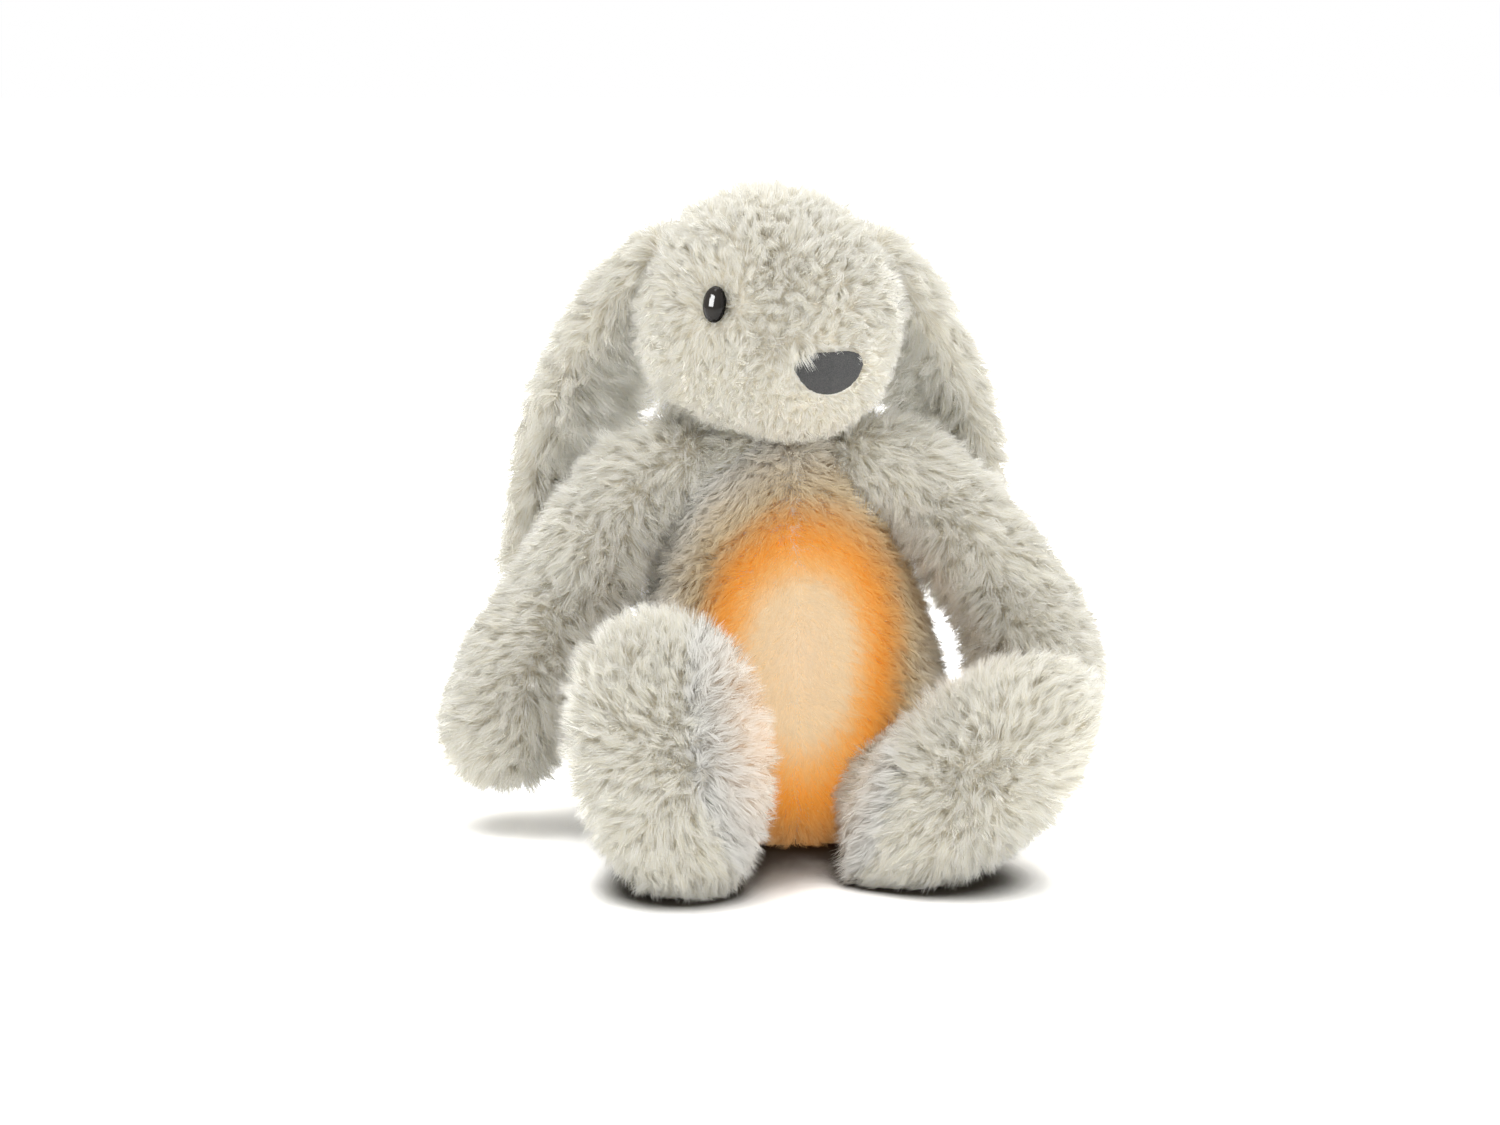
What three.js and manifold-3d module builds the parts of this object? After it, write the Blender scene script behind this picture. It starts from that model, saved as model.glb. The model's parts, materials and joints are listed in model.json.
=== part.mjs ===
// Plush rabbit night light: a seated, stuffed body with a battery light unit behind its belly.
// Millimetres, +Z up, the face looks along -Y. "Right" and "left" are the rabbit's own.
import * as THREE from "three";
import { mergeVertices } from "three/addons/utils/BufferGeometryUtils.js";
import Module from "manifold-3d";

const wasm = await Module();
wasm.setup();

// Clearances
const seamGap = 0.3;
const hingeGap = 0.6;
const floorFlat = 0.5;
const overrun = 5;
const farReach = 200;
const weldDistance = 0.0005;

// Light unit: a round case on an axis that runs from the belly to the back, sized to its three cells
const batteryRadius = 5.2;
const batteryLength = 44.5;
const batteryTipRadius = 1.9;
const batteryTipLength = 0.8;
const batteryCount = 3;
const batteryGap = 0.9;
const batteryPitch = batteryRadius + batteryRadius + batteryGap;
const baySlack = 1.1;
const bayWidth = batteryPitch * batteryCount + baySlack;
const contactRoom = 5.9;
const bayHeight = batteryLength + contactRoom;
const contactThickness = 0.5;
const contactSpringRadius = 3;
const fitGap = 0.3;
const caseWall = 2;
const caseRim = 3.3;
const caseRadius = Math.hypot(bayWidth / 2, bayHeight / 2) + caseRim;
const innerRadius = caseRadius - caseWall;
const caseSides = 22;
const frontDepth = 6;
const caseFloorStart = 3;
const caseFloorThickness = 2;
const bayFront = caseFloorStart + caseFloorThickness;
const doorThickness = 2;
const doorClearance = 1.1;
const rearDepth = bayFront + batteryRadius + batteryRadius + doorClearance + doorThickness;
const doorLap = 1.5;
const doorTabWidth = 12;
const doorTabReach = 6;
const buttonRadius = 4.5;
const buttonFlangeRadius = 5.5;
const buttonFlangeThickness = 1;
const buttonProud = 3;
const buttonEdge = 0.8;
const buttonTravel = 1.2;
const buttonMargin = 0.8;
const switchWidth = 6;
const domeFlangeRadius = innerRadius - (buttonFlangeRadius + buttonMargin) * 2;
const domeFlangeLap = 1.7;
const domeRadius = domeFlangeRadius - domeFlangeLap;
const domeHeight = 14;
const domeFlangeThickness = 1.2;
const domeWall = 1.5;
const domeSteps = 5;
const buttonDrop = innerRadius - buttonFlangeRadius - buttonMargin;
const boardGap = 1.5;
const boardRadius = innerRadius - boardGap;
const boardThickness = 1.6;
const boardNotchRadius = 3.6;
const ledWidth = 3.5;
const ledHeight = 2;
const ledRing = domeRadius / 2;
const ledCount = 4;
const lensShare = 0.8;
const lensSinkShare = 0.9;
const lensSides = 8;
const lensSteps = 6;
const screwShankRadius = 1.1;
const screwHeadRadius = 2.2;
const screwHeadHeight = 1.6;
const screwHoleDepth = 10;
const screwReach = 8;
const screwBossRadius = 3;
const screwSides = 8;
const slotSides = 4;
const screwBearingDegrees = 33.7;
const leadRadius = 0.6;
const leadSlotRadius = 1.6;
const leadMargin = 4.5;
const leadX = bayWidth / 2 - leadMargin;
const leadSteps = 8;
const leadCurveSteps = 3;

// Torso: a pear that leans a little to the rabbit's right at the neck
const torsoHeight = 170;
const bodyStuffing = 23;
const torsoRadius = caseRadius + bodyStuffing;
const torsoDepthShare = 0.9;
const torsoLeanX = -13;
const torsoLeanY = -4;
const plushThickness = 2.5;
const torsoProfileShares = [
  [0.74, 0.0], [0.9, 0.04], [0.975, 0.13], [1.0, 0.26], [0.98, 0.4], [0.885, 0.555],
  [0.76, 0.71], [0.645, 0.84], [0.5, 0.94], [0.26, 0.99],
];
const torsoSides = 20;
const torsoSteps = 10;

// Place of the light unit in the body, with its pouch and cushion
const unitHeightShare = 0.494;
const unitHeight = torsoHeight * unitHeightShare;
const unitInset = 32.3;
const unitY = unitInset - torsoRadius * torsoDepthShare;
const pouchThickness = 1;
const pouchInset = 27.3;
const pouchRear = torsoRadius * torsoDepthShare - pouchInset;
const pouchNoseShares = [[0, 0], [0.6, 0.12], [0.9, 0.4]];
const cushionCrown = 12;
const cushionCrownShares = [[0.85, 0.5], [0.5, 0.88], [0, 1]];

// Head: skull and snout, turned about the neck
const headTurnDegrees = 26;
const skullRadiusX = 49;
const skullRadiusY = 50;
const skullRadiusZ = 47;
const skullForward = 4;
const skullRise = 40;
const skullHeight = torsoHeight + skullRise;
const snoutRadiusX = 37;
const snoutRadiusY = 31;
const snoutRadiusZ = 31;
const snoutForward = 27;
const snoutDrop = 13;
const snoutHeight = skullHeight - snoutDrop;
const headSides = 20;
const headSteps = 13;

// Eyes: oval domes on stems that washers hold
const eyeHalfWidth = 5;
const eyeHalfHeight = 7.4;
const eyeDome = 3.4;
const eyeRim = 0.85;
const eyeBearingDegrees = 52;
const eyeRise = 10;
const eyeHeight = skullHeight + eyeRise;
const eyeStemRadius = 2;
const eyeStemLength = 8;
const eyeSocketRadius = 4.6;
const eyeWasherThickness = 1.2;
const eyeWasherHoleRadius = 2.3;
const eyeSides = 14;

// Nose: a soft patch with the outline of a rounded triangle
const noseHalfWidth = 15;
const noseHalfHeight = 8.5;
const noseDrop = 3;
const noseHeight = snoutHeight - noseDrop;
const noseThickness = 1.6;
const noseShoulderShare = 0.25;
const noseTopShare = 0.33;
const noseCornerShare = 0.7;
const noseSteps = 4;

// Ears: flat lobes that hang from the sides of the skull
const earRootX = 42;
const earRootY = 2;
const earRootRise = 25;
const earRootHeight = skullHeight + earRootRise;
const earDrop = 156;
const earSpreadRight = 57;
const earSpreadLeft = 46;
const earBack = 62.5;
const earHalfWidth = 31;
const earRootHalfWidth = 15;
const earHalfThickness = 7;
const earTwistDegrees = 30;
const earTwistShare = 0.5;
const earClearDegrees = [0, 12, 30, 60, 90];
const earPathShares = [
  [0, 0, 0], [0.3, 0.28, 0.11], [0.58, 0.62, 0.3], [0.73, 0.84, 0.5], [0.83, 0.97, 0.69],
  [0.92, 1, 0.86], [1, 1, 1],
];
const earWidthShares = [0, 0.55, 0.95, 1, 1, 0.95, 0.85];

// Arms: hang outward from ball-shaped shoulders
const shoulderDrop = 20;
const shoulderHeight = torsoHeight - shoulderDrop;
const shoulderOut = 35;
const shoulderY = -6;
const armRadius = 17.2;
const pawRadius = 23.5;
const armForward = 8;
const armClearDegrees = [0, 25, 50];
const pawSwellShares = [0.4, 0.85];
const armReachRight = 79;
const armDropRight = 128;
const armReachLeft = 77;
const armDropLeft = 100;
const armRightPathShares = [
  [0, 0, 0], [0.2, 0, 0.03], [0.4, 0.25, 0.19], [0.62, 0.5, 0.41], [0.83, 0.75, 0.63],
  [0.96, 1, 0.84], [1, 1, 1],
];
const armLeftPathShares = [
  [0, 0, 0], [0.22, 0, 0.02], [0.53, 0.25, 0.22], [0.8, 0.5, 0.5], [0.94, 0.75, 0.72],
  [0.99, 1, 0.88], [1, 1, 1],
];

// Legs: thighs forward along the floor, each ending in a large upright foot
const hipHeight = 27;
const hipY = -32;
const hipXRight = -40;
const hipXLeft = 36;
const hipRadius = 23;
const legRadius = 20;
const legRightLength = 70;
const legLeftLength = 56;
const legSplayDegrees = 9;
const legClearDegrees = [0, 75];
const footRightX = -49;
const footRightY = hipY - legRightLength;
const footRightHalfWidth = 33;
const footRightHalfHeight = 54;
const footRightLeanDegrees = -9.5;
const footLeftX = 66;
const footLeftY = hipY - legLeftLength;
const footLeftHalfWidth = 28;
const footLeftHalfHeight = 57;
const footLeftLeanDegrees = 47;
const footHalfThickness = 22;
const footToeSwell = 0.1;

// Fineness of the stuffed forms, and how blunt a limb's end is
const ballSides = 14;
const ballSteps = 7;
const limbSides = 12;
const limbSteps = 10;
const limbBluntness = 3.2;
const legSteps = 5;
const earSteps = 12;
const footSides = 16;
const footSteps = 10;

// Tail
const tailRadius = 14;
const tailHeight = 33;
const tailSetShare = 0.7;

// Flap over the pocket at the back, with its hook-and-loop closure
const flapWidth = 56;
const flapRise = 32;
const flapFall = 30;
const flapTop = unitHeight + flapRise;
const flapBottom = unitHeight - flapFall;
const stripThickness = 1.2;
const stripHalfWidth = 23;
const stripHeight = 10;

// Weighted bag in the seat
const pelletBagTop = 22;

const sideways = new THREE.Vector3(1, 0, 0);
const backwards = new THREE.Vector3(0, 1, 0);
const up = new THREE.Vector3(0, 0, 1);

// Joining and cutting
function solidOf(geometry) {
  const bare = geometry.index ? geometry.clone() : geometry;
  bare.deleteAttribute("normal");
  bare.deleteAttribute("uv");
  const merged = mergeVertices(bare, weldDistance);
  const vertProperties = new Float32Array(merged.attributes.position.array);
  const triVerts = new Uint32Array(merged.index.array);
  return new wasm.Manifold(new wasm.Mesh({ numProp: 3, vertProperties, triVerts }));
}

// The same with its faces turned outward whichever way they were listed
function closedOf(geometry) {
  const solid = solidOf(geometry);
  return solid.volume() > 0 ? solid : solidOf(flipped(geometry));
}

function flipped(geometry) {
  const copy = geometry.clone();
  const index = copy.index.array;
  for (let i = 0; i < index.length; i += 3) {
    [index[i + 1], index[i + 2]] = [index[i + 2], index[i + 1]];
  }
  return copy;
}

function geometryOf(solid) {
  const mesh = solid.getMesh();
  const geometry = new THREE.BufferGeometry();
  geometry.setAttribute("position", new THREE.BufferAttribute(mesh.vertProperties, 3));
  geometry.setIndex(new THREE.BufferAttribute(mesh.triVerts, 1));
  geometry.computeVertexNormals();
  return geometry;
}

function joined(solids) {
  return solids.reduce((whole, solid) => whole.add(solid));
}

function cut(solid, ...cutters) {
  return cutters.reduce((rest, cutter) => rest.subtract(cutter), solid);
}

function moved(solid, by) {
  return solidOf(geometryOf(solid).translate(by.x, by.y, by.z));
}

// A solid turned about an axis through a pivot
function swung(solid, pivot, axis, angle) {
  const geometry = geometryOf(solid).translate(-pivot.x, -pivot.y, -pivot.z);
  geometry.applyQuaternion(new THREE.Quaternion().setFromAxisAngle(axis, angle));
  return solidOf(geometry.translate(pivot.x, pivot.y, pivot.z));
}

// Plain shapes as solids, in the frame of what holds them
function block(low, high) {
  const size = new THREE.Vector3().subVectors(high, low);
  const middle = new THREE.Vector3().addVectors(high, low).multiplyScalar(1 / 2);
  const geometry = new THREE.BoxGeometry(size.x, size.y, size.z);
  return solidOf(geometry.translate(middle.x, middle.y, middle.z));
}

function vector(x, y, z) {
  return new THREE.Vector3(x, y, z);
}

// A closed outline of [radius, y] pairs turned about the Y axis
function turned(outline, sides, x = 0, z = 0) {
  const points = outline.map(([radius, y]) => new THREE.Vector2(radius, y));
  return closedOf(new THREE.LatheGeometry(points, sides).translate(x, 0, z));
}

// A disc or rod along Y, from y0 to y1
function rod(radius, y0, y1, sides, x = 0, z = 0) {
  return turned([[0, y0], [radius, y0], [radius, y1], [0, y1]], sides, x, z);
}

// A ball-like form: a unit sphere with its pole up, scaled and turned
function ball(radii, sides, steps) {
  return new THREE.SphereGeometry(1, sides, steps).rotateX(Math.PI / 2).scale(radii.x, radii.y, radii.z);
}

// A ball whose pole lies on the axis that it turns about
function ballAt(centre, radius, axis, sides = ballSides, steps = ballSteps) {
  const geometry = new THREE.SphereGeometry(radius, sides, steps);
  geometry.applyQuaternion(new THREE.Quaternion().setFromUnitVectors(backwards, axis));
  return solidOf(geometry.translate(centre.x, centre.y, centre.z));
}

// Stuffed limbs: a sphere drawn out along a path, blunt at its far end and full from its root
function limb(path, radiusAt, sides, steps, widthAt = radiusAt, axisAt = null) {
  const geometry = new THREE.SphereGeometry(1, sides, steps);
  const place = geometry.attributes.position;
  for (let i = 0; i < place.count; i += 1) {
    const y = THREE.MathUtils.clamp(place.getY(i), -1, 1);
    const along = (1 - y) / 2;
    const angle = Math.atan2(place.getZ(i), place.getX(i));
    const left = Math.max(0, 1 - Math.pow(Math.abs(y), limbBluntness));
    const rounded = Math.pow(left, 1 / limbBluntness);
    const fullness = y > 0 && y < 1 - weldDistance ? 1 : rounded;
    const centre = path.getPoint(along);
    const ahead = path.getTangent(along).normalize();
    const wide = axisAt ? axisAt(along) : backwards;
    const across = new THREE.Vector3().crossVectors(ahead, wide).normalize();
    const widthways = new THREE.Vector3().crossVectors(across, ahead).normalize();
    centre.addScaledVector(across, Math.cos(angle) * radiusAt(along) * fullness);
    centre.addScaledVector(widthways, Math.sin(angle) * widthAt(along) * fullness);
    place.setXYZ(i, centre.x, centre.y, centre.z);
  }
  return closedOf(geometry);
}

// A value read smoothly from a list of evenly spaced ones
function between(values, along) {
  const place = along * (values.length - 1);
  const first = Math.min(Math.floor(place), values.length - 2);
  return THREE.MathUtils.lerp(values[first], values[first + 1], place - first);
}

function pathFrom(root, shares, reach, back, drop) {
  const points = shares.map(([x, y, z]) => vector(x * reach, y * back, -z * drop).add(root));
  return new THREE.CatmullRomCurve3(points, false, "centripetal");
}

// Torso form: inset shrinks it all round, roundness 1 makes it a true surface of revolution
function leanAt(height) {
  const rise = height / torsoHeight;
  return vector(torsoLeanX * rise * rise, torsoLeanY * rise * rise, 0);
}

function torsoForm(inset, depthShare = torsoDepthShare) {
  const flanks = torsoProfileShares.map(([radiusShare, heightShare]) => new THREE.Vector2(
    radiusShare * torsoRadius - inset,
    inset + heightShare * (torsoHeight - inset - inset),
  ));
  const outline = [new THREE.Vector2(0, flanks[0].y), ...new THREE.SplineCurve(flanks).getPoints(torsoSteps)];
  outline.push(new THREE.Vector2(0, torsoHeight - inset));
  const geometry = new THREE.LatheGeometry(outline, torsoSides).rotateX(Math.PI / 2).scale(1, depthShare, 1);
  const place = geometry.attributes.position;
  for (let i = 0; i < place.count; i += 1) {
    const lean = leanAt(place.getZ(i));
    place.setXY(i, place.getX(i) + lean.x, place.getY(i) + lean.y);
  }
  return closedOf(geometry);
}

// Torso surface behind the body's middle at a height
function torsoBackAt(height) {
  const share = height / torsoHeight;
  const above = torsoProfileShares.findIndex(([, heightShare]) => heightShare >= share);
  const [lowRadius, lowHeight] = torsoProfileShares[above - 1];
  const [highRadius, highHeight] = torsoProfileShares[above];
  const part = (share - lowHeight) / (highHeight - lowHeight);
  const radius = THREE.MathUtils.lerp(lowRadius, highRadius, part) * torsoRadius;
  return radius * torsoDepthShare + leanAt(height).y;
}

// Places that several pieces share
const neck = leanAt(torsoHeight);
const headTurn = THREE.MathUtils.degToRad(headTurnDegrees);
const shoulderLean = leanAt(shoulderHeight);
const shoulders = {
  right: vector(shoulderLean.x - shoulderOut, shoulderY, shoulderHeight),
  left: vector(shoulderLean.x + shoulderOut, shoulderY, shoulderHeight),
};
const hips = {
  right: vector(hipXRight, hipY, hipHeight),
  left: vector(hipXLeft, hipY, hipHeight),
};

// A point of the head, given in the head's own frame, after the head's turn
function fromHead(x, y, z) {
  return vector(x, y, z).applyAxisAngle(up, headTurn).add(vector(neck.x, neck.y, 0));
}

const skullCentre = fromHead(0, -skullForward, skullHeight);
const earRoots = {
  right: vector(skullCentre.x - earRootX, earRootY, earRootHeight),
  left: vector(skullCentre.x + earRootX, earRootY, earRootHeight),
};

// Legs, in the seated pose or swung down by an angle
function legForm(side, radius, degrees) {
  const isRight = side === "right";
  const hip = hips[side];
  const length = isRight ? legRightLength : legLeftLength;
  const splay = THREE.MathUtils.degToRad(isRight ? -legSplayDegrees : legSplayDegrees);
  const direction = vector(Math.sin(splay), -Math.cos(splay), 0).multiplyScalar(length);
  const drop = hipHeight - (legRadius - floorFlat);
  const ankle = direction.clone().setZ(-drop);
  const heel = direction.clone().multiplyScalar(1 / 2).setZ(-drop);
  const path = new THREE.CatmullRomCurve3([vector(0, legRadius / 2, 0), heel, ankle]);
  const thigh = limb(path, () => radius, limbSides, legSteps, () => radius, () => up);
  const knuckle = ballAt(vector(0, 0, 0), radius + hipRadius - legRadius, sideways);
  const atHip = moved(thigh.add(knuckle), hip);
  return swung(atHip, hip, sideways, THREE.MathUtils.degToRad(degrees));
}

function footForm(x, y, halfWidth, halfHeight, leanDegrees, grow) {
  const geometry = ball(vector(1, 1, 1), footSides, footSteps);
  const place = geometry.attributes.position;
  const lean = THREE.MathUtils.degToRad(leanDegrees);
  for (let i = 0; i < place.count; i += 1) {
    const swell = 1 + footToeSwell * place.getZ(i);
    place.setX(i, place.getX(i) * swell * (halfWidth + grow));
    place.setY(i, place.getY(i) * (footHalfThickness + grow));
    place.setZ(i, place.getZ(i) * (halfHeight + grow));
  }
  geometry.rotateY(lean);
  geometry.computeBoundingBox();
  const rest = -geometry.boundingBox.min.z - floorFlat - grow;
  return solidOf(geometry.translate(x, y, rest));
}

const floorBlock = block(vector(-farReach, -farReach, -farReach), vector(farReach, farReach, 0));

function onFloor(solid) {
  return solid.subtract(floorBlock);
}

// What the torso makes room for: the roots of the four limbs
const shoulderRooms = Object.values(shoulders).map((centre) => ballAt(
  centre, armRadius + hingeGap, backwards,
));
const legRooms = legClearDegrees.flatMap((degrees) => [
  legForm("right", legRadius + hingeGap, degrees),
  legForm("left", legRadius + hingeGap, degrees),
]);
const swingRooms = Object.values(hips).map((hip) => block(
  vector(hip.x - legRadius, -farReach, -farReach), vector(hip.x + legRadius, hip.y, hip.z),
));
const limbRooms = joined([...shoulderRooms, ...legRooms, ...swingRooms]);

// Head
const headFrame = new THREE.Matrix4().makeRotationZ(headTurn).setPosition(neck.x, neck.y, 0);

function headForm(grow) {
  const growth = vector(grow, grow, grow);
  const skull = ball(vector(skullRadiusX, skullRadiusY, skullRadiusZ).add(growth), headSides, headSteps);
  const snout = ball(vector(snoutRadiusX, snoutRadiusY, snoutRadiusZ).add(growth), headSides, headSteps);
  skull.translate(0, -skullForward, skullHeight);
  snout.translate(0, -snoutForward, snoutHeight);
  return solidOf(skull.applyMatrix4(headFrame)).add(solidOf(snout.applyMatrix4(headFrame)));
}

// Where an eye sits on the skull and how it faces
function eyePlace(side) {
  const bearing = THREE.MathUtils.degToRad(eyeBearingDegrees) * side;
  const rise = eyeRise / skullRadiusZ;
  const level = Math.sqrt(1 - rise * rise);
  const outward = vector(Math.sin(bearing), -Math.cos(bearing), rise);
  const seat = vector(
    skullRadiusX * level * Math.sin(bearing),
    -skullForward - skullRadiusY * level * Math.cos(bearing),
    eyeHeight,
  );
  const toFace = new THREE.Matrix4().lookAt(vector(0, 0, 0), outward, up);
  toFace.setPosition(seat);
  return headFrame.clone().multiply(toFace);
}

// Lathe shapes with their axis on local Z, pointing into the head
function stemShape(outline, sides, stretch, place) {
  const points = outline.map(([radius, depth]) => new THREE.Vector2(radius, depth));
  const geometry = new THREE.LatheGeometry(points, sides).rotateX(Math.PI / 2);
  return closedOf(geometry.scale(stretch.x, stretch.y, 1).applyMatrix4(place));
}

function eyeParts(side) {
  const place = eyePlace(side);
  const even = new THREE.Vector2(1, 1);
  const oval = new THREE.Vector2(eyeHalfWidth, eyeHalfHeight);
  const domeOutline = [[0, -seamGap], [1, -seamGap]];
  for (let i = 0; i <= domeSteps; i += 1) {
    const turn = (Math.PI / 2) * (i / domeSteps);
    domeOutline.push([Math.cos(turn), -seamGap - eyeRim - Math.sin(turn) * eyeDome]);
  }
  domeOutline[domeOutline.length - 1][0] = 0;
  const dome = stemShape(domeOutline, eyeSides, oval, place);
  const stem = stemShape(
    [[0, -seamGap - weldDistance], [eyeStemRadius, -seamGap - weldDistance],
      [eyeStemRadius, eyeStemLength], [0, eyeStemLength]],
    screwSides, even, place,
  );
  const washerStart = eyeStemLength - eyeWasherThickness - eyeWasherThickness;
  const washer = stemShape(
    [[eyeWasherHoleRadius, washerStart], [eyeSocketRadius - seamGap, washerStart],
      [eyeSocketRadius - seamGap, washerStart + eyeWasherThickness],
      [eyeWasherHoleRadius, washerStart + eyeWasherThickness], [eyeWasherHoleRadius, washerStart]],
    screwSides, even, place,
  );
  const socket = stemShape(
    [[0, -overrun], [eyeSocketRadius, -overrun], [eyeSocketRadius, eyeStemLength + seamGap],
      [0, eyeStemLength + seamGap]],
    screwSides, even, place,
  );
  return { eye: dome.add(stem), washer, socket };
}

// Rounded triangle, wider at the top, that the nose patch is cut to
function noseOutline() {
  const shape = new THREE.Shape();
  const shoulder = noseHalfHeight * noseShoulderShare;
  const top = noseHalfWidth * noseTopShare;
  const corner = noseHalfWidth * noseCornerShare;
  shape.moveTo(-noseHalfWidth, shoulder);
  shape.quadraticCurveTo(-noseHalfWidth, noseHalfHeight, -top, noseHalfHeight);
  shape.lineTo(top, noseHalfHeight);
  shape.quadraticCurveTo(noseHalfWidth, noseHalfHeight, noseHalfWidth, shoulder);
  shape.quadraticCurveTo(corner, -noseHalfHeight, 0, -noseHalfHeight);
  shape.quadraticCurveTo(-corner, -noseHalfHeight, -noseHalfWidth, shoulder);
  return shape;
}

function nosePatch() {
  const depth = snoutRadiusY;
  const settings = { depth, bevelEnabled: false, curveSegments: noseSteps };
  const prism = new THREE.ExtrudeGeometry(noseOutline(), settings);
  prism.rotateX(Math.PI / 2).translate(0, -snoutForward - snoutRadiusY / 2, noseHeight);
  const layer = headForm(seamGap + noseThickness).subtract(headForm(seamGap));
  return solidOf(prism.applyMatrix4(headFrame)).intersect(layer);
}

const eyes = { right: eyeParts(-1), left: eyeParts(1) };
const neckRoom = torsoForm(-hingeGap, 1);

// The ear's root: an oval knuckle, round about the axis that the ear lifts on
function earHinge(root, grow) {
  const geometry = new THREE.SphereGeometry(earHalfThickness + grow, ballSides, ballSteps);
  geometry.scale(1, (earRootHalfWidth + grow) / (earHalfThickness + grow), 1);
  return solidOf(geometry.translate(root.x, root.y, root.z));
}

function earForm(side, spread) {
  const root = earRoots[side];
  const way = side === "right" ? -1 : 1;
  const path = pathFrom(root, earPathShares, spread * way, earBack, earDrop);
  const widthAt = (along) => {
    const share = between(earWidthShares, along);
    return THREE.MathUtils.lerp(earRootHalfWidth, earHalfWidth, share);
  };
  const axisAt = (along) => {
    const twist = THREE.MathUtils.degToRad(earTwistDegrees) * Math.min(1, along / earTwistShare);
    return vector(Math.sin(twist) * -way, Math.cos(twist), 0);
  };
  return limb(path, () => earHalfThickness, limbSides, earSteps, widthAt, axisAt);
}

function armForm(side) {
  const isRight = side === "right";
  const shares = isRight ? armRightPathShares : armLeftPathShares;
  const reach = isRight ? -armReachRight : armReachLeft;
  const drop = isRight ? armDropRight : armDropLeft;
  const path = pathFrom(shoulders[side], shares, reach, -armForward, drop);
  const radiusAt = (along) => {
    const swell = THREE.MathUtils.smoothstep(along, ...pawSwellShares);
    return THREE.MathUtils.lerp(armRadius, pawRadius, swell);
  };
  return limb(path, radiusAt, limbSides, limbSteps).add(shoulderKnuckle(side));
}

// Soft pieces
const torsoOuter = torsoForm(0);
const torsoCore = torsoForm(plushThickness);
const headSolid = headForm(0);
const pocketFar = torsoRadius + overrun;
const flapPrism = (gap) => block(
  vector(-flapWidth / 2 + gap, pouchRear / 2, flapBottom + gap),
  vector(flapWidth / 2 - gap, pocketFar, flapTop - gap),
);
const torsoSkin = torsoOuter.subtract(torsoCore);
const torsoPlush = cut(torsoSkin, limbRooms, flapPrism(0));
const flapShell = torsoSkin.intersect(flapPrism(hingeGap));

// Hook strip on the flap, loop strip on the skin below it
function band(outerInset, innerInset, zLow, zHigh) {
  const box = block(vector(-stripHalfWidth, 0, zLow), vector(stripHalfWidth, pocketFar, zHigh));
  return torsoForm(outerInset).subtract(torsoForm(innerInset)).intersect(box);
}

const hookOuter = plushThickness + seamGap;
const hookInner = hookOuter + stripThickness;
const loopOuter = hookInner + hingeGap;
const loopInner = loopOuter + stripThickness;
const hookStrip = band(hookOuter, hookInner, flapBottom + hingeGap, flapBottom + stripHeight);
const loopFoot = band(hookOuter, loopInner, flapBottom - stripHeight, flapBottom - hingeGap);
const loopFace = band(loopOuter, loopInner, flapBottom - stripHeight, flapBottom + stripHeight);
const loopStrip = loopFoot.add(loopFace);
const stripRoom = block(
  vector(-flapWidth / 2, 0, flapBottom - stripHeight - hingeGap),
  vector(flapWidth / 2, pocketFar, flapTop),
).intersect(torsoCore).subtract(torsoForm(loopInner + hingeGap));

// Light unit shapes, in the unit's frame: the case's parting plane is y = 0, the belly is towards -Y
const unitPlace = vector(0, unitY, unitHeight);
const plateBack = -frontDepth + caseWall;
const boardBack = caseFloorStart - fitGap;
const boardFront = boardBack - boardThickness;
const doorFront = rearDepth - doorThickness;
const batteryY = bayFront + fitGap + batteryRadius;
const screwBearing = THREE.MathUtils.degToRad(screwBearingDegrees);
const screwX = (innerRadius - screwBossRadius) * Math.cos(screwBearing);
const screwZ = (innerRadius - screwBossRadius) * Math.sin(screwBearing);
const screwPlaces = [[screwX, screwZ], [-screwX, screwZ], [-screwX, -screwZ], [screwX, -screwZ]];
const doorHalfWidth = bayWidth / 2 + doorLap;
const doorHalfHeight = bayHeight / 2 + doorLap;
const leadHeight = bayHeight / 2 - leadRadius - fitGap;
const doorScrewZ = -doorHalfHeight - doorTabReach / 2 + screwShankRadius / 2;

function frontHousing() {
  const cup = turned([
    [0, -frontDepth], [caseRadius, -frontDepth], [caseRadius, 0], [innerRadius, 0],
    [innerRadius, plateBack], [0, plateBack],
  ], caseSides);
  const bosses = screwPlaces.map(([x, z]) => rod(
    screwBossRadius, plateBack - caseWall / 2, 0, screwSides, x, z,
  ));
  const holes = screwPlaces.map(([x, z]) => rod(
    screwShankRadius + fitGap, -frontDepth - overrun, overrun, screwSides, x, z,
  ));
  const sinks = screwPlaces.map(([x, z]) => rod(
    screwHeadRadius + fitGap, -frontDepth - overrun, -frontDepth + screwHeadHeight + fitGap, screwSides, x, z,
  ));
  const domeHole = rod(domeRadius + fitGap, -frontDepth - overrun, overrun, caseSides);
  const buttonHole = rod(buttonRadius + fitGap, -frontDepth - overrun, overrun, eyeSides, 0, -buttonDrop);
  return cut(joined([cup, ...bosses]), domeHole, buttonHole, ...holes, ...sinks);
}

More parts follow.
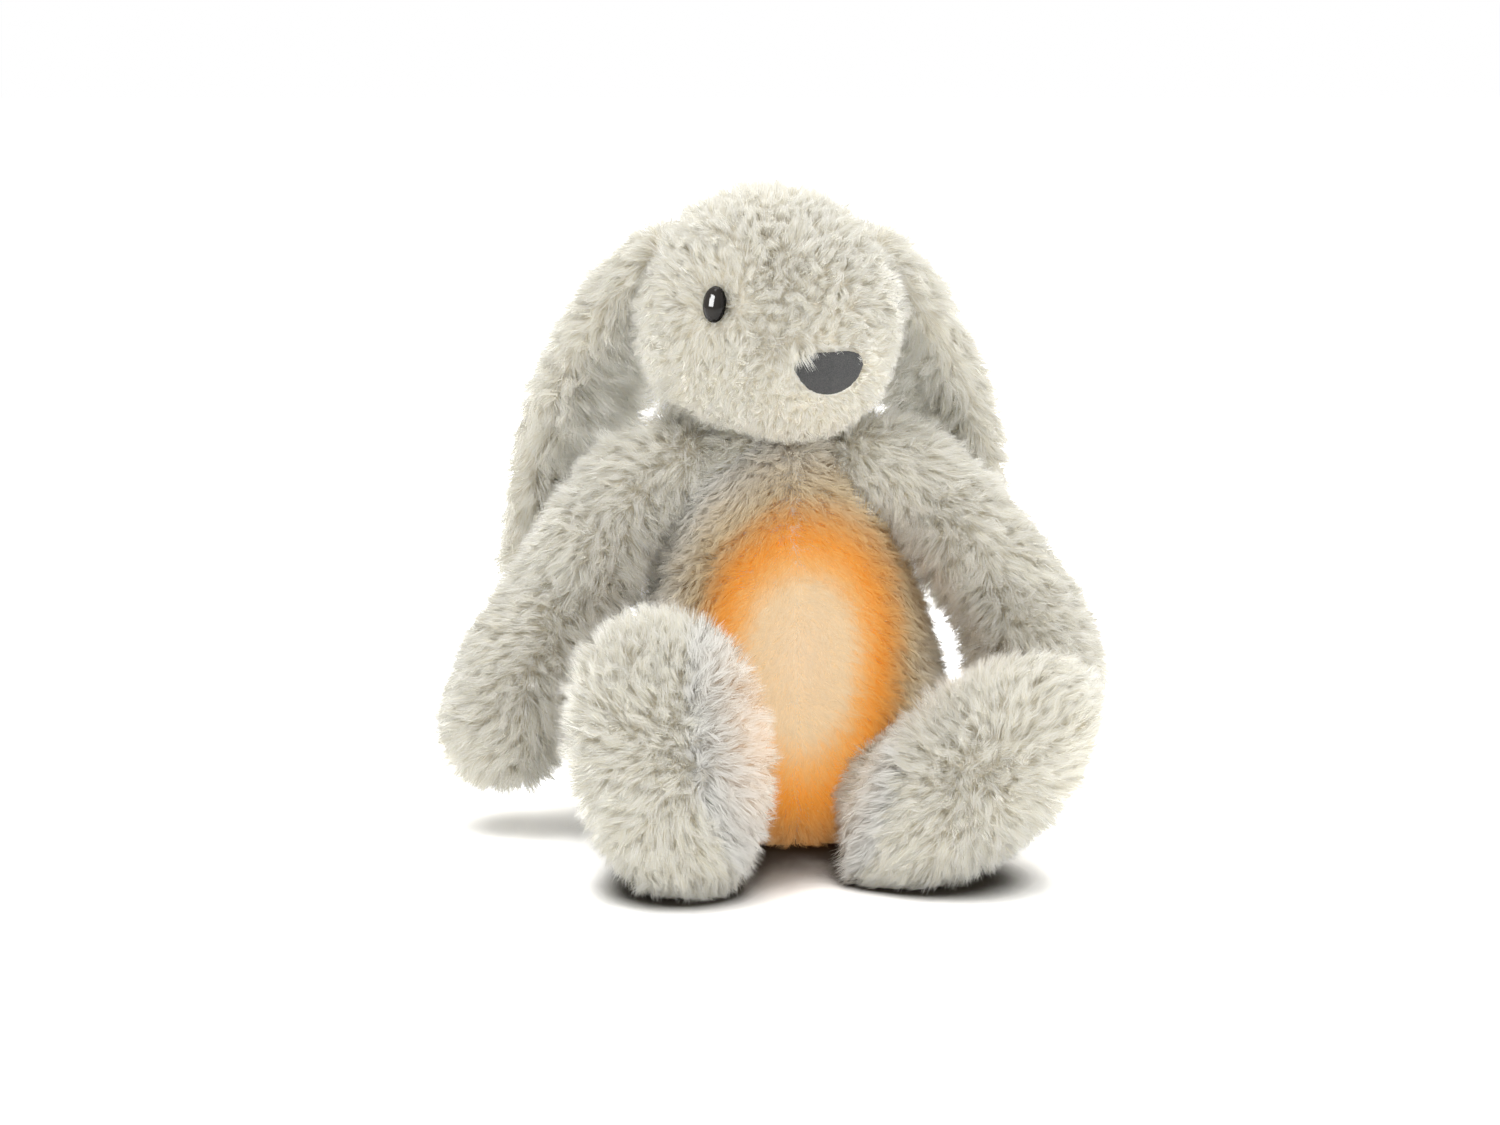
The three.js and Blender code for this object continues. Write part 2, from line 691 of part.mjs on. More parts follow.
function diffuser() {
  const flangeFront = plateBack + fitGap;
  const flangeBack = flangeFront + domeFlangeThickness;
  const outline = [[domeRadius, flangeFront]];
  const outer = [];
  const inner = [];
  for (let i = 0; i <= domeSteps; i += 1) {
    const turn = (Math.PI / 2) * (i / domeSteps);
    const reach = domeHeight + caseWall;
    outer.push([domeRadius * Math.cos(turn), -frontDepth + caseWall - reach * Math.sin(turn)]);
    inner.push([
      (domeRadius - domeWall) * Math.cos(turn),
      flangeBack - (reach - domeWall) * Math.sin(turn),
    ]);
  }
  outer[domeSteps][0] = 0;
  inner[domeSteps][0] = 0;
  outline.push(...outer.slice(1), ...inner.reverse());
  outline.push([domeFlangeRadius, flangeBack], [domeFlangeRadius, flangeFront], [domeRadius, flangeFront]);
  return turned(outline, caseSides);
}

function rearHousing() {
  const whole = rod(caseRadius, fitGap, rearDepth, caseSides);
  const boardRecess = rod(innerRadius, -overrun, caseFloorStart, caseSides);
  const hollow = rod(innerRadius, -overrun, rearDepth - caseWall, caseSides);
  const bayWallX = bayWidth / 2 + caseWall;
  const sides = [-1, 1].map((way) => block(
    vector(way > 0 ? bayWallX : -caseRadius, -overrun, -caseRadius),
    vector(way > 0 ? caseRadius : -bayWallX, rearDepth, caseRadius),
  ).intersect(hollow));
  const bay = block(
    vector(-bayWidth / 2, bayFront, -bayHeight / 2),
    vector(bayWidth / 2, rearDepth + overrun, bayHeight / 2),
  );
  const doorSeat = doorShape(fitGap, doorFront - fitGap, rearDepth + overrun);
  const bosses = screwPlaces.map(([x, z]) => rod(
    screwBossRadius, fitGap, rearDepth - caseWall / 2, screwSides, x, z,
  ));
  const holes = screwPlaces.map(([x, z]) => rod(
    screwShankRadius + fitGap, -overrun, screwHoleDepth, screwSides, x, z,
  ));
  const doorHole = rod(
    screwShankRadius + fitGap, rearDepth - screwHoleDepth, rearDepth + overrun, screwSides, 0, doorScrewZ,
  );
  const leadSlotZ = bayHeight / 2 - leadSlotRadius;
  const leadHoles = [-1, 1].map((way) => rod(
    leadSlotRadius, -overrun, bayFront + overrun, screwSides, way * leadX, way * leadSlotZ,
  ));
  const shell = joined([cut(whole, boardRecess, ...sides), ...bosses]);
  return cut(shell, bay, doorSeat, doorHole, ...holes, ...leadHoles);
}

// Battery door: a plate with a screw tab below
function doorShape(grow, y0, y1) {
  const plate = block(
    vector(-doorHalfWidth - grow, y0, -doorHalfHeight - grow),
    vector(doorHalfWidth + grow, y1, doorHalfHeight + grow),
  );
  const tab = block(
    vector(-doorTabWidth / 2 - grow, y0, -doorHalfHeight - doorTabReach - grow),
    vector(doorTabWidth / 2 + grow, y1, 0),
  );
  return plate.add(tab).intersect(rod(caseRadius - caseWall / 2 + grow, y0, y1, caseSides));
}

function batteryDoor() {
  const hole = rod(screwShankRadius + fitGap, 0, rearDepth + overrun, screwSides, 0, doorScrewZ);
  const sinkFloor = rearDepth - screwHeadHeight / 2;
  const sink = rod(screwHeadRadius + fitGap, sinkFloor, rearDepth + overrun, screwSides, 0, doorScrewZ);
  return cut(doorShape(0, doorFront, rearDepth), hole, sink);
}

// A screw whose head looks towards -Y, or towards +Y when way is -1
function screw(x, z, headTop, way, headHeight) {
  const inHead = headTop + (way * headHeight) / 2;
  const rodBetween = (radius, start, end, sides) => rod(
    radius, Math.min(start, end), Math.max(start, end), sides, x, z,
  );
  const head = rodBetween(screwHeadRadius, headTop, headTop + way * headHeight, screwSides);
  const shank = rodBetween(screwShankRadius, inHead, headTop + way * screwReach, screwSides);
  const slot = rodBetween(screwShankRadius, headTop - way * overrun, inHead, slotSides);
  return head.add(shank).subtract(slot);
}

function ledBoard() {
  const board = rod(boardRadius, boardFront, boardBack, caseSides);
  const notches = screwPlaces.map(([x, z]) => rod(boardNotchRadius, -overrun, overrun, screwSides, x, z));
  const leadHoles = [-1, 1].map((way) => rod(
    leadRadius + fitGap, -overrun, overrun, screwSides, way * leadX, way * leadHeight,
  ));
  return cut(board, ...notches, ...leadHoles);
}

function led(index) {
  const turn = (index / ledCount) * Math.PI * 2 + Math.PI / 4;
  const x = Math.cos(turn) * ledRing;
  const z = Math.sin(turn) * ledRing;
  const half = ledWidth / 2;
  const front = boardFront - seamGap;
  const body = block(vector(x - half, front - ledHeight, z - half), vector(x + half, front, z + half));
  const lens = ballAt(vector(x, front - ledHeight, z), half * lensShare, backwards, lensSides, lensSteps);
  const behind = block(
    vector(x - ledWidth, front - ledHeight * lensSinkShare, z - ledWidth),
    vector(x + ledWidth, front + ledWidth, z + ledWidth),
  );
  return body.add(lens.subtract(behind));
}

const flangeFront = plateBack + fitGap;
const buttonBack = flangeFront + buttonFlangeThickness;

function pushButton() {
  return turned([
    [0, -frontDepth - buttonProud], [buttonRadius - buttonEdge, -frontDepth - buttonProud],
    [buttonRadius, -frontDepth - buttonProud + buttonEdge], [buttonRadius, flangeFront],
    [buttonFlangeRadius, flangeFront], [buttonFlangeRadius, buttonBack], [0, buttonBack],
  ], eyeSides, 0, -buttonDrop);
}

function tactSwitch() {
  const front = buttonBack + buttonTravel + fitGap;
  const half = switchWidth / 2;
  const body = block(
    vector(-half, front + fitGap, -buttonDrop - half),
    vector(half, boardFront - seamGap, -buttonDrop + half),
  );
  const plunger = rod(half / 2, front, boardFront - seamGap, screwSides, 0, -buttonDrop);
  return body.add(plunger);
}

// Cells stand upright, side by side, alternately turned
function battery(index) {
  const x = (index - (batteryCount - 1) / 2) * batteryPitch;
  const way = index % 2 === 0 ? 1 : -1;
  const half = batteryLength / 2;
  const outline = [
    [0, -half], [batteryRadius, -half], [batteryRadius, half - batteryTipLength],
    [batteryTipRadius, half - batteryTipLength], [batteryTipRadius, half], [0, half],
  ];
  const geometry = geometryOf(turned(outline, eyeSides)).rotateX((Math.PI / 2) * way);
  return solidOf(geometry.translate(x, batteryY, (springEnd * way) / 2));
}

const contactStack = contactThickness + fitGap + fitGap;
const springEnd = bayHeight - batteryLength - contactStack - contactStack;

function contactPlate(way) {
  const outer = bayHeight / 2 - fitGap;
  const inner = outer - contactThickness;
  return block(
    vector(-bayWidth / 2 + fitGap, batteryY - batteryRadius / 2, way > 0 ? inner : -outer),
    vector(bayWidth / 2 - fitGap, batteryY + batteryRadius / 2, way > 0 ? outer : -inner),
  );
}

function contactSpring(index) {
  const x = (index - (batteryCount - 1) / 2) * batteryPitch;
  const way = index % 2 === 0 ? 1 : -1;
  const wide = bayHeight / 2 - fitGap - contactThickness - seamGap;
  const narrow = wide - springEnd + seamGap;
  const outline = [
    [0, narrow], [contactSpringRadius / 2, narrow], [contactSpringRadius, wide], [0, wide],
  ];
  const geometry = geometryOf(turned(outline, screwSides)).rotateX((Math.PI / 2) * -way);
  return solidOf(geometry.translate(x, batteryY, 0));
}

// Insulated leads from the board to the contact plates
function lead(way) {
  const x = way * leadX;
  const z = way * leadHeight;
  const start = boardFront - ledHeight;
  const route = new THREE.CatmullRomCurve3([
    vector(x, start, z), vector(x, boardBack, z), vector(x, bayFront - leadRadius, z),
    vector(x, batteryY - batteryRadius / 2 - leadRadius - seamGap, z),
  ]);
  const ring = new THREE.Shape().absarc(0, 0, leadRadius, 0, Math.PI * 2);
  const settings = { extrudePath: route, steps: leadSteps, curveSegments: leadCurveSteps };
  return solidOf(new THREE.ExtrudeGeometry(ring, settings));
}

// Pouch and cushion
function pouchShape(grow, open) {
  const wide = caseRadius + fitGap + grow;
  const shoulder = -frontDepth - fitGap - grow;
  const nose = -frontDepth - domeHeight - fitGap - grow;
  const narrow = domeRadius + fitGap + grow;
  const rear = pouchRear - unitY;
  const crown = pouchNoseShares.map(([wideShare, deepShare]) => [
    narrow * wideShare, nose + domeHeight * deepShare,
  ]);
  return turned([
    ...crown, [narrow, shoulder - buttonProud], [wide - buttonProud, shoulder - buttonProud],
    [wide, shoulder], [wide, rear + open], [0, rear + open],
  ], caseSides);
}

const pouchOuter = pouchShape(pouchThickness, 0);
const lightPouch = pouchOuter.subtract(pouchShape(0, overrun));
const pouchRoom = pouchShape(pouchThickness + seamGap, pocketFar);

function pocketCushion() {
  const radius = caseRadius - seamGap;
  const start = rearDepth + seamGap;
  const end = pouchRear - unitY;
  const round = cushionCrown / 2;
  const crown = cushionCrownShares.map(([wideShare, deepShare]) => [
    radius * wideShare, end + cushionCrown * deepShare,
  ]);
  return turned([
    [0, start], [radius - round, start], [radius, start + round], [radius, end], ...crown,
  ], caseSides);
}

function atUnit(solid) {
  return moved(solid, unitPlace);
}

const innerForm = torsoForm(plushThickness + seamGap);
const bodySpace = cut(innerForm, limbRooms, atUnit(pouchRoom), stripRoom);
const level = block(vector(-farReach, -farReach, -overrun), vector(farReach, farReach, pelletBagTop));
const upper = block(
  vector(-farReach, -farReach, pelletBagTop + seamGap), vector(farReach, farReach, farReach),
);
const pelletBag = bodySpace.intersect(level);
const viewHole = atUnit(rod(domeRadius, -torsoRadius, 0, caseSides));
const torsoFilling = bodySpace.intersect(upper).subtract(viewHole);

// Moving forms, cut where they meet the larger ones
const rightFootShape = [
  footRightX, footRightY, footRightHalfWidth, footRightHalfHeight, footRightLeanDegrees,
];
const leftFootShape = [footLeftX, footLeftY, footLeftHalfWidth, footLeftHalfHeight, footLeftLeanDegrees];

function legOf(side, footShape) {
  return onFloor(legForm(side, legRadius, 0)).subtract(footForm(...footShape, seamGap));
}

const torsoRoom = torsoForm(-hingeGap);
const headRoom = headForm(hingeGap);

function shoulderKnuckle(side) {
  return ballAt(shoulders[side], armRadius, backwards);
}

// A form that lifts sideways, trimmed clear of what it passes at each of some angles, knuckle apart
function trimmed(form, knuckle, room, pivot, side, clearDegrees) {
  const way = side === "right" ? -1 : 1;
  const rooms = clearDegrees.map((degrees) => {
    const angle = THREE.MathUtils.degToRad(degrees) * way;
    return swung(room, pivot, backwards, angle).subtract(knuckle);
  });
  return cut(form, ...rooms).add(knuckle);
}

function armOf(side) {
  return trimmed(armForm(side), shoulderKnuckle(side), torsoRoom, shoulders[side], side, armClearDegrees);
}

function earOf(side, spread) {
  const root = earRoots[side];
  return trimmed(earForm(side, spread), earHinge(root, 0), headRoom, root, side, earClearDegrees);
}

const headPlush = cut(
  headSolid, neckRoom, eyes.right.socket, eyes.left.socket,
  earHinge(earRoots.right, hingeGap), earHinge(earRoots.left, hingeGap),
);
const tailY = torsoBackAt(tailHeight) + tailRadius * tailSetShare;
const tail = ballAt(vector(0, tailY, tailHeight), tailRadius, backwards).subtract(torsoForm(-seamGap));

// Materials
function finish(color, roughness, metalness = 0) {
  return new THREE.MeshStandardMaterial({ color, roughness, metalness });
}

const pile = finish(0xcecbbc, 0.95);
const eyeGloss = finish(0x0c0805, 0.08);
const noseFelt = finish(0x545655, 0.85);
const cotton = finish(0xe6e2d6, 0.9);
const fibre = finish(0xf2f0ea, 1);
const whitePlastic = finish(0xe9e8e3, 0.45);
const milkPlastic = finish(0xffd9a0, 0.35);
const greyPlastic = finish(0x8d9093, 0.5);
const boardGreen = finish(0x1f6b3f, 0.5);
const lampGlow = finish(0xffb454, 0.3);
const plated = finish(0xc9cbcd, 0.3, 1);
const cellWrap = finish(0x2c3137, 0.4, 0.3);
const redCover = finish(0xb3261e, 0.5);
const blackCover = finish(0x1a1a1a, 0.5);
const hookTape = finish(0xdedbd0, 0.95);

// Assembly
const toy = new THREE.Group();

function bodyAt(pivot, parent = toy) {
  const group = new THREE.Group();
  const world = pivot.clone();
  group.userData.pivot = world;
  const origin = parent.userData.pivot ?? vector(0, 0, 0);
  group.position.copy(world).sub(origin);
  parent.add(group);
  return group;
}

// Adds a piece whose solid is given in the toy's frame
function add(group, name, solid, material) {
  const geometry = geometryOf(solid);
  const pivot = group.userData.pivot ?? vector(0, 0, 0);
  geometry.translate(-pivot.x, -pivot.y, -pivot.z);
  const mesh = new THREE.Mesh(geometry, material);
  mesh.name = name;
  group.add(mesh);
}

// Adds a piece of the light unit, given in the unit's own frame
function addToUnit(name, solid, material) {
  const mesh = new THREE.Mesh(geometryOf(solid), material);
  mesh.name = name;
  unit.add(mesh);
}

add(toy, "torso_plush", torsoPlush, pile);
add(toy, "torso_filling", torsoFilling, fibre);
add(toy, "pellet_bag", pelletBag, cotton);
add(toy, "tail", tail, pile);
add(toy, "loop_strip", loopStrip, hookTape);

const head = bodyAt(vector(neck.x, neck.y, shoulderHeight));
add(head, "head_plush", headPlush, pile);
add(head, "nose_patch", nosePatch(), noseFelt);
for (const side of ["right", "left"]) {
  add(head, `eye_${side}`, eyes[side].eye, eyeGloss);
  add(head, `eye_washer_${side}`, eyes[side].washer, whitePlastic);
}

const earRight = bodyAt(earRoots.right, head);
add(earRight, "ear_right", earOf("right", earSpreadRight), pile);
const earLeft = bodyAt(earRoots.left, head);
add(earLeft, "ear_left", earOf("left", earSpreadLeft), pile);

for (const side of ["right", "left"]) {
  const arm = bodyAt(shoulders[side]);
  add(arm, `arm_${side}`, armOf(side), pile);
}

const legRight = bodyAt(hips.right);
add(legRight, "leg_right", legOf("right", rightFootShape), pile);
add(legRight, "foot_right", onFloor(footForm(...rightFootShape, 0)), pile);
const legLeft = bodyAt(hips.left);
add(legLeft, "leg_left", legOf("left", leftFootShape), pile);
add(legLeft, "foot_left", onFloor(footForm(...leftFootShape, 0)), pile);

const flap = bodyAt(vector(0, torsoBackAt(flapTop), flapTop));
add(flap, "battery_flap", flapShell, pile);
add(flap, "hook_strip", hookStrip, hookTape);

const unit = new THREE.Group();
unit.position.copy(unitPlace);
toy.add(unit);
addToUnit("light_pouch", lightPouch, cotton);
addToUnit("pocket_cushion", pocketCushion(), fibre);
addToUnit("front_housing", frontHousing(), whitePlastic);
addToUnit("rear_housing", rearHousing(), whitePlastic);
addToUnit("diffuser", diffuser(), milkPlastic);
addToUnit("led_board", ledBoard(), boardGreen);
for (let i = 0; i < ledCount; i += 1) {
  addToUnit(`led_${i + 1}`, led(i), lampGlow);
}
addToUnit("tact_switch", tactSwitch(), blackCover);
addToUnit("push_button", pushButton(), greyPlastic);
for (let i = 0; i < batteryCount; i += 1) {
  addToUnit(`battery_${i + 1}`, battery(i), cellWrap);
  addToUnit(`contact_spring_${i + 1}`, contactSpring(i), plated);
}
addToUnit("contact_plate_top", contactPlate(1), plated);
addToUnit("contact_plate_bottom", contactPlate(-1), plated);
addToUnit("battery_door", batteryDoor(), whitePlastic);
addToUnit("door_screw", screw(0, doorScrewZ, rearDepth, -1, screwHeadHeight / 2), plated);
screwPlaces.forEach(([x, z], i) => {
  addToUnit(`case_screw_${i + 1}`, screw(x, z, -frontDepth, 1, screwHeadHeight), plated);
});
addToUnit("lead_positive", lead(1), redCover);
addToUnit("lead_negative", lead(-1), blackCover);

// The part's origin is the middle of its footprint, on the floor
const box = new THREE.Box3().setFromObject(toy);
const middle = box.getCenter(vector(0, 0, 0));
toy.position.set(-middle.x, -middle.y, -box.min.z);

const part = new THREE.Group();
part.add(toy);

export default part;
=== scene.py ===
# Plush rabbit night light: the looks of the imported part, in metres, +Z up. The face looks along -Y.
# "Right" and "left" are the rabbit's own.
import json
import math

import bmesh
import bpy
import numpy as np
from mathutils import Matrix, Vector, kdtree, noise
from mathutils.bvhtree import BVHTree


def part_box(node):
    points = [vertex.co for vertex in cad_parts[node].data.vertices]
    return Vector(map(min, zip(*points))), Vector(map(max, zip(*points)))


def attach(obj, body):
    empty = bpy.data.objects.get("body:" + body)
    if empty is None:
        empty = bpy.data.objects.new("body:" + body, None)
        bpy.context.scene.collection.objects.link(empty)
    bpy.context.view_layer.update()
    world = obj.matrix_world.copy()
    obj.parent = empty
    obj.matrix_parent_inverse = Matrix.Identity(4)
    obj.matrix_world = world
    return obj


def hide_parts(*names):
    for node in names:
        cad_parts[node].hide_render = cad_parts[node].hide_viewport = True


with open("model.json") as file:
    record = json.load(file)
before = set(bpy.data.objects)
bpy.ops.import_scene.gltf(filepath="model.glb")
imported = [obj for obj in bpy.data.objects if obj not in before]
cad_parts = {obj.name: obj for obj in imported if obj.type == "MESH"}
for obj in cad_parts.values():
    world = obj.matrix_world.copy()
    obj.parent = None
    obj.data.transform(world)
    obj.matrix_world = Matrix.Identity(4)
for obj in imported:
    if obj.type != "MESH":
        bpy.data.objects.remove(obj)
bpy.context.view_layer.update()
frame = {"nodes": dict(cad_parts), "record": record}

NOISE_SEED = 5
HALF = 0.5
FULL = 1.0
WHITE = (1.0, 1.0, 1.0, 1.0)
WELD = 0.00001
TINY = 1e-9
noise.seed_set(NOISE_SEED)

# Camera of the photograph: 1500 x 1125, seen from a little above
CAMERA_LENS = 69.0
CAMERA_SENSOR = 36.0
CAMERA_DISTANCE = 1.15
CAMERA_ELEVATION = math.radians(12)
CAMERA_TARGET = Vector((-0.0188, -0.030, 0.114))

# Skins: the sewn forms under the pile
SKIN_VOXEL = 0.003
SKIN_ROUNDS = 8
SKIN_THICKNESS = 0.0025
LUMP_SIZE = 0.028
LUMP_DEPTH = 0.0012

# Pile: strands in tufts, each strand a flat blade with a bend in it and a pointed tip
STRAND_TWIST = math.radians(45)
STRAND_BEND = 0.45
STRAND_RADIUS = 0.000157
STRAND_BEND_RADIUS_SHARE = 0.8
STRAND_SINK = 0.0006
STRANDS_IN_PIECE = 66000
SKIN_SHADING = 0.6
TUFT_SPACING = 0.0020
TUFT_BLUR = 0.0006
TUFT_PULL_AT_BEND = 0.35
TUFT_PULL_AT_TIP = 0.58
FULL_LEAN = math.radians(72)
LEAN_AT_BEND = 0.6
LEAN_AT_TIP = 1.35
WAVE_SIZE = 0.017
WAVE_TILT = 0.4
TUFT_TILT = 0.2
STRAND_TILT = 0.17
LENGTH_LOW = 0.72
LENGTH_HIGH = 1.12
FLOOR_REST = 0.0004

# Where pile is missing, or only a thin nap: under other pieces, and on the flat of the seat
COVERED_WITHIN = 0.0022
COVERED_BY_FACE_WITHIN = 0.0009
NAP_SHARE = 0.28
NAP_THINNING = 2
SEAT_RIM = 0.0015
SEAT_FACING = -0.7

# Strands to the square metre, on skin that faces forward and on skin that faces back
DENSITY_FRONT = 3.65e6
DENSITY_BACK = 1.95e6
DENSITY_GAIN = 1.5
DENSITY_AT_SIDE = 0.6

DOWN = np.array((0.0, 0.0, -1.0))
RIGHT = np.array((-1.0, 0.0, 0.0))
LEFT = np.array((1.0, 0.0, 0.0))

collection = bpy.context.scene.collection
seat = Vector(frame["record"]["mounts"][0]["pos_m"])
body_of_node = {
    node: body
    for body, nodes in frame["record"]["behaviour"]["bodies"].items()
    for node in nodes
}


def middle_of(node):
    low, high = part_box(node)
    return (low + high) * HALF


# Node trees
def new_material(name):
    material = bpy.data.materials.new(name)
    material.use_nodes = True
    tree = material.node_tree
    return material, tree, tree.nodes["Principled BSDF"], tree.nodes["Material Output"]


def add_node(tree, kind, **inputs):
    node = tree.nodes.new("ShaderNode" + kind)
    for name, value in inputs.items():
        node.inputs[name.replace("_", " ")].default_value = value
    return node


def colour_ramp(tree, factor, stops):
    ramp = tree.nodes.new("ShaderNodeValToRGB")
    elements = ramp.color_ramp.elements
    while len(elements) < len(stops):
        elements.new(HALF)
    for element, (place, colour) in zip(elements, stops):
        element.position = place
        element.color = (*colour, FULL)
    tree.links.new(factor, ramp.inputs["Fac"])
    return ramp.outputs["Color"]


def mixed_colour(tree, factor, first, second, blend="MIX"):
    mix = tree.nodes.new("ShaderNodeMix")
    mix.data_type = "RGBA"
    mix.blend_type = blend
    for socket, value in ((mix.inputs["Factor"], factor), (mix.inputs[6], first), (mix.inputs[7], second)):
        if isinstance(value, bpy.types.NodeSocket):
            tree.links.new(value, socket)
        else:
            socket.default_value = value
    return mix.outputs[2]


def object_noise(tree, scale, detail=3.0):
    place = tree.nodes.new("ShaderNodeTexCoord")
    texture = add_node(tree, "TexNoise", Scale=scale, Detail=detail)
    tree.links.new(place.outputs["Object"], texture.inputs["Vector"])
    return texture.outputs["Fac"]


def add_bump(tree, height, shader, strength, distance):
    bump = add_node(tree, "Bump", Strength=strength, Distance=distance)
    tree.links.new(height, bump.inputs["Height"])
    tree.links.new(bump.outputs["Normal"], shader.inputs["Normal"])


# Pile materials
# The pile is painted darker and warmer towards its roots than at its tips: painted shade deep in the pile,
# where the strands shade each other
TIP_COLOUR = (1.0, 1.0, 0.975)
BODY_COLOUR = (0.985, 0.975, 0.925)
SHADED_ROOT_COLOUR = (0.90, 0.85, 0.73)
DARK_TINT = (0.90, 0.875, 0.80)
PALE_TINT = (1.0, 1.0, 1.0)
PALE_TINT_FROM = 0.6
PILE_STOPS = ((0.0, SHADED_ROOT_COLOUR), (0.45, BODY_COLOUR), (1.0, TIP_COLOUR))
PILE_TRANSLUCENCE = 0.5
PILE_ROUGHNESS = 0.8
PILE_SHEEN = 0.25


def strand_shares(tree):
    """The strand's own share across (tint or glow) and along (root to tip)."""
    strand_map = tree.nodes.new("ShaderNodeUVMap")
    strand_map.uv_map = "OFBake"
    split = tree.nodes.new("ShaderNodeSeparateXYZ")
    tree.links.new(strand_map.outputs["UV"], split.inputs["Vector"])
    return split.outputs["X"], split.outputs["Y"]


def mix_in_translucence(tree, shader, colour, output, share):
    translucent = tree.nodes.new("ShaderNodeBsdfTranslucent")
    tree.links.new(colour, translucent.inputs["Color"])
    mix = tree.nodes.new("ShaderNodeMixShader")
    mix.inputs["Fac"].default_value = share
    tree.links.new(shader.outputs["BSDF"], mix.inputs[1])
    tree.links.new(translucent.outputs["BSDF"], mix.inputs[2])
    tree.links.new(mix.outputs["Shader"], output.inputs["Surface"])


def pile_material(name, stops, translucence):
    material, tree, shader, output = new_material(name)
    tint, along = strand_shares(tree)
    colour = colour_ramp(tree, along, stops)
    tints = colour_ramp(tree, tint, ((0.0, DARK_TINT), (PALE_TINT_FROM, PALE_TINT)))
    tinted = mixed_colour(tree, FULL, colour, tints, "MULTIPLY")
    tree.links.new(tinted, shader.inputs["Base Color"])
    shader.inputs["Roughness"].default_value = PILE_ROUGHNESS
    shader.inputs["Sheen Weight"].default_value = PILE_SHEEN
    mix_in_translucence(tree, shader, tinted, output, translucence)
    return material


# Painted glow on the belly pile, where the light unit shines through it: the strands emit, most at their
# roots, and their own colour is painted amber. Towards the faint outer edge, over the chest, it is painted
# a darker brown, for painted shade and dim glow
GLOW_STOPS = (
    (0.0, (0.0, 0.0, 0.0)),
    (0.26, (0.03, 0.013, 0.002)),
    (0.36, (0.17, 0.065, 0.008)),
    (0.48, (0.43, 0.17, 0.02)),
    (0.58, (0.50, 0.27, 0.085)),
    (0.70, (0.52, 0.39, 0.24)),
    (1.0, (0.53, 0.41, 0.28)),
)
LIT_STOPS = (
    (0.0, BODY_COLOUR),
    (0.26, (0.87, 0.75, 0.52)),
    (0.36, (0.70, 0.50, 0.24)),
    (0.48, (0.56, 0.31, 0.09)),
    (0.58, (0.50, 0.32, 0.14)),
    (0.70, (0.46, 0.38, 0.27)),
    (1.0, (0.46, 0.38, 0.27)),
)
# Painted light on the feet beside the belly: their pile is painted peach and emits a little, as if the
# glow fell on it
SPILL_GLOW_STOPS = ((0.0, (0.0, 0.0, 0.0)), (1.0, (0.30, 0.165, 0.075)))
SPILL_STOPS = ((0.0, BODY_COLOUR), (1.0, (0.98, 0.88, 0.74)))
LIT_PILE_SPECULAR = 0.1
GLOW_ALONG_STOPS = ((0.0, (1.25, 1.2, 1.15)), (0.5, (1.0, 1.0, 1.0)), (1.0, (0.72, 0.74, 0.76)))


def lit_pile_material(name, stops, glow_stops):
    material, tree, shader, _ = new_material(name)
    level, along = strand_shares(tree)
    colour = colour_ramp(tree, level, stops)
    tree.links.new(colour, shader.inputs["Base Color"])
    shader.inputs["Roughness"].default_value = PILE_ROUGHNESS
    shader.inputs["Specular IOR Level"].default_value = LIT_PILE_SPECULAR
    by_level = colour_ramp(tree, level, glow_stops)
    by_height = colour_ramp(tree, along, GLOW_ALONG_STOPS)
    glow = mixed_colour(tree, FULL, by_level, by_height, "MULTIPLY")
    tree.links.new(glow, shader.inputs["Emission Color"])
    shader.inputs["Emission Strength"].default_value = FULL
    return material


# The ground that the pile grows from, and the other materials. Where a noise colours a surface, the darker
# colour holds up to the dark level and the paler one from the pale level
DARK_LEVEL = 0.3
PALE_LEVEL = 0.7
BACKING_GRAIN = 700.0
BACKING_ROUGHNESS = 0.95
BACKING_BUMP = 0.6
BACKING_BUMP_DEPTH = 0.001


def colour_by_noise(tree, shader, level, dark, pale, dark_level=DARK_LEVEL, pale_level=PALE_LEVEL):
    colour = colour_ramp(tree, level, ((dark_level, dark), (pale_level, pale)))
    tree.links.new(colour, shader.inputs["Base Color"])


def backing_material():
    material, tree, shader, _ = new_material("pile_backing")
    mottle = object_noise(tree, BACKING_GRAIN)
    # Its darker colour is the pile's root colour, painted with shade
    colour_by_noise(tree, shader, mottle, SHADED_ROOT_COLOUR, BODY_COLOUR)
    shader.inputs["Roughness"].default_value = BACKING_ROUGHNESS
    add_bump(tree, mottle, shader, BACKING_BUMP, BACKING_BUMP_DEPTH)
    return material


NOSE_DARK = (0.050, 0.050, 0.050)
NOSE_LIGHT = (0.11, 0.11, 0.108)
NOSE_PALE_LEVEL = 0.72
NOSE_NAP = 2600.0
NOSE_NAP_DETAIL = 4.0
NOSE_ROUGHNESS = 0.9
NOSE_SHEEN = 0.1
NOSE_BUMP = 0.5
NOSE_BUMP_DEPTH = 0.0004


def nose_material():
    material, tree, shader, _ = new_material("nose_felt")
    nap = object_noise(tree, NOSE_NAP, NOSE_NAP_DETAIL)
    colour_by_noise(tree, shader, nap, NOSE_DARK, NOSE_LIGHT, pale_level=NOSE_PALE_LEVEL)
    shader.inputs["Roughness"].default_value = NOSE_ROUGHNESS
    shader.inputs["Sheen Weight"].default_value = NOSE_SHEEN
    add_bump(tree, nap, shader, NOSE_BUMP, NOSE_BUMP_DEPTH)
    return material


WEAVE_BUMP = 0.5
WEAVE_BUMP_DEPTH = 0.0006


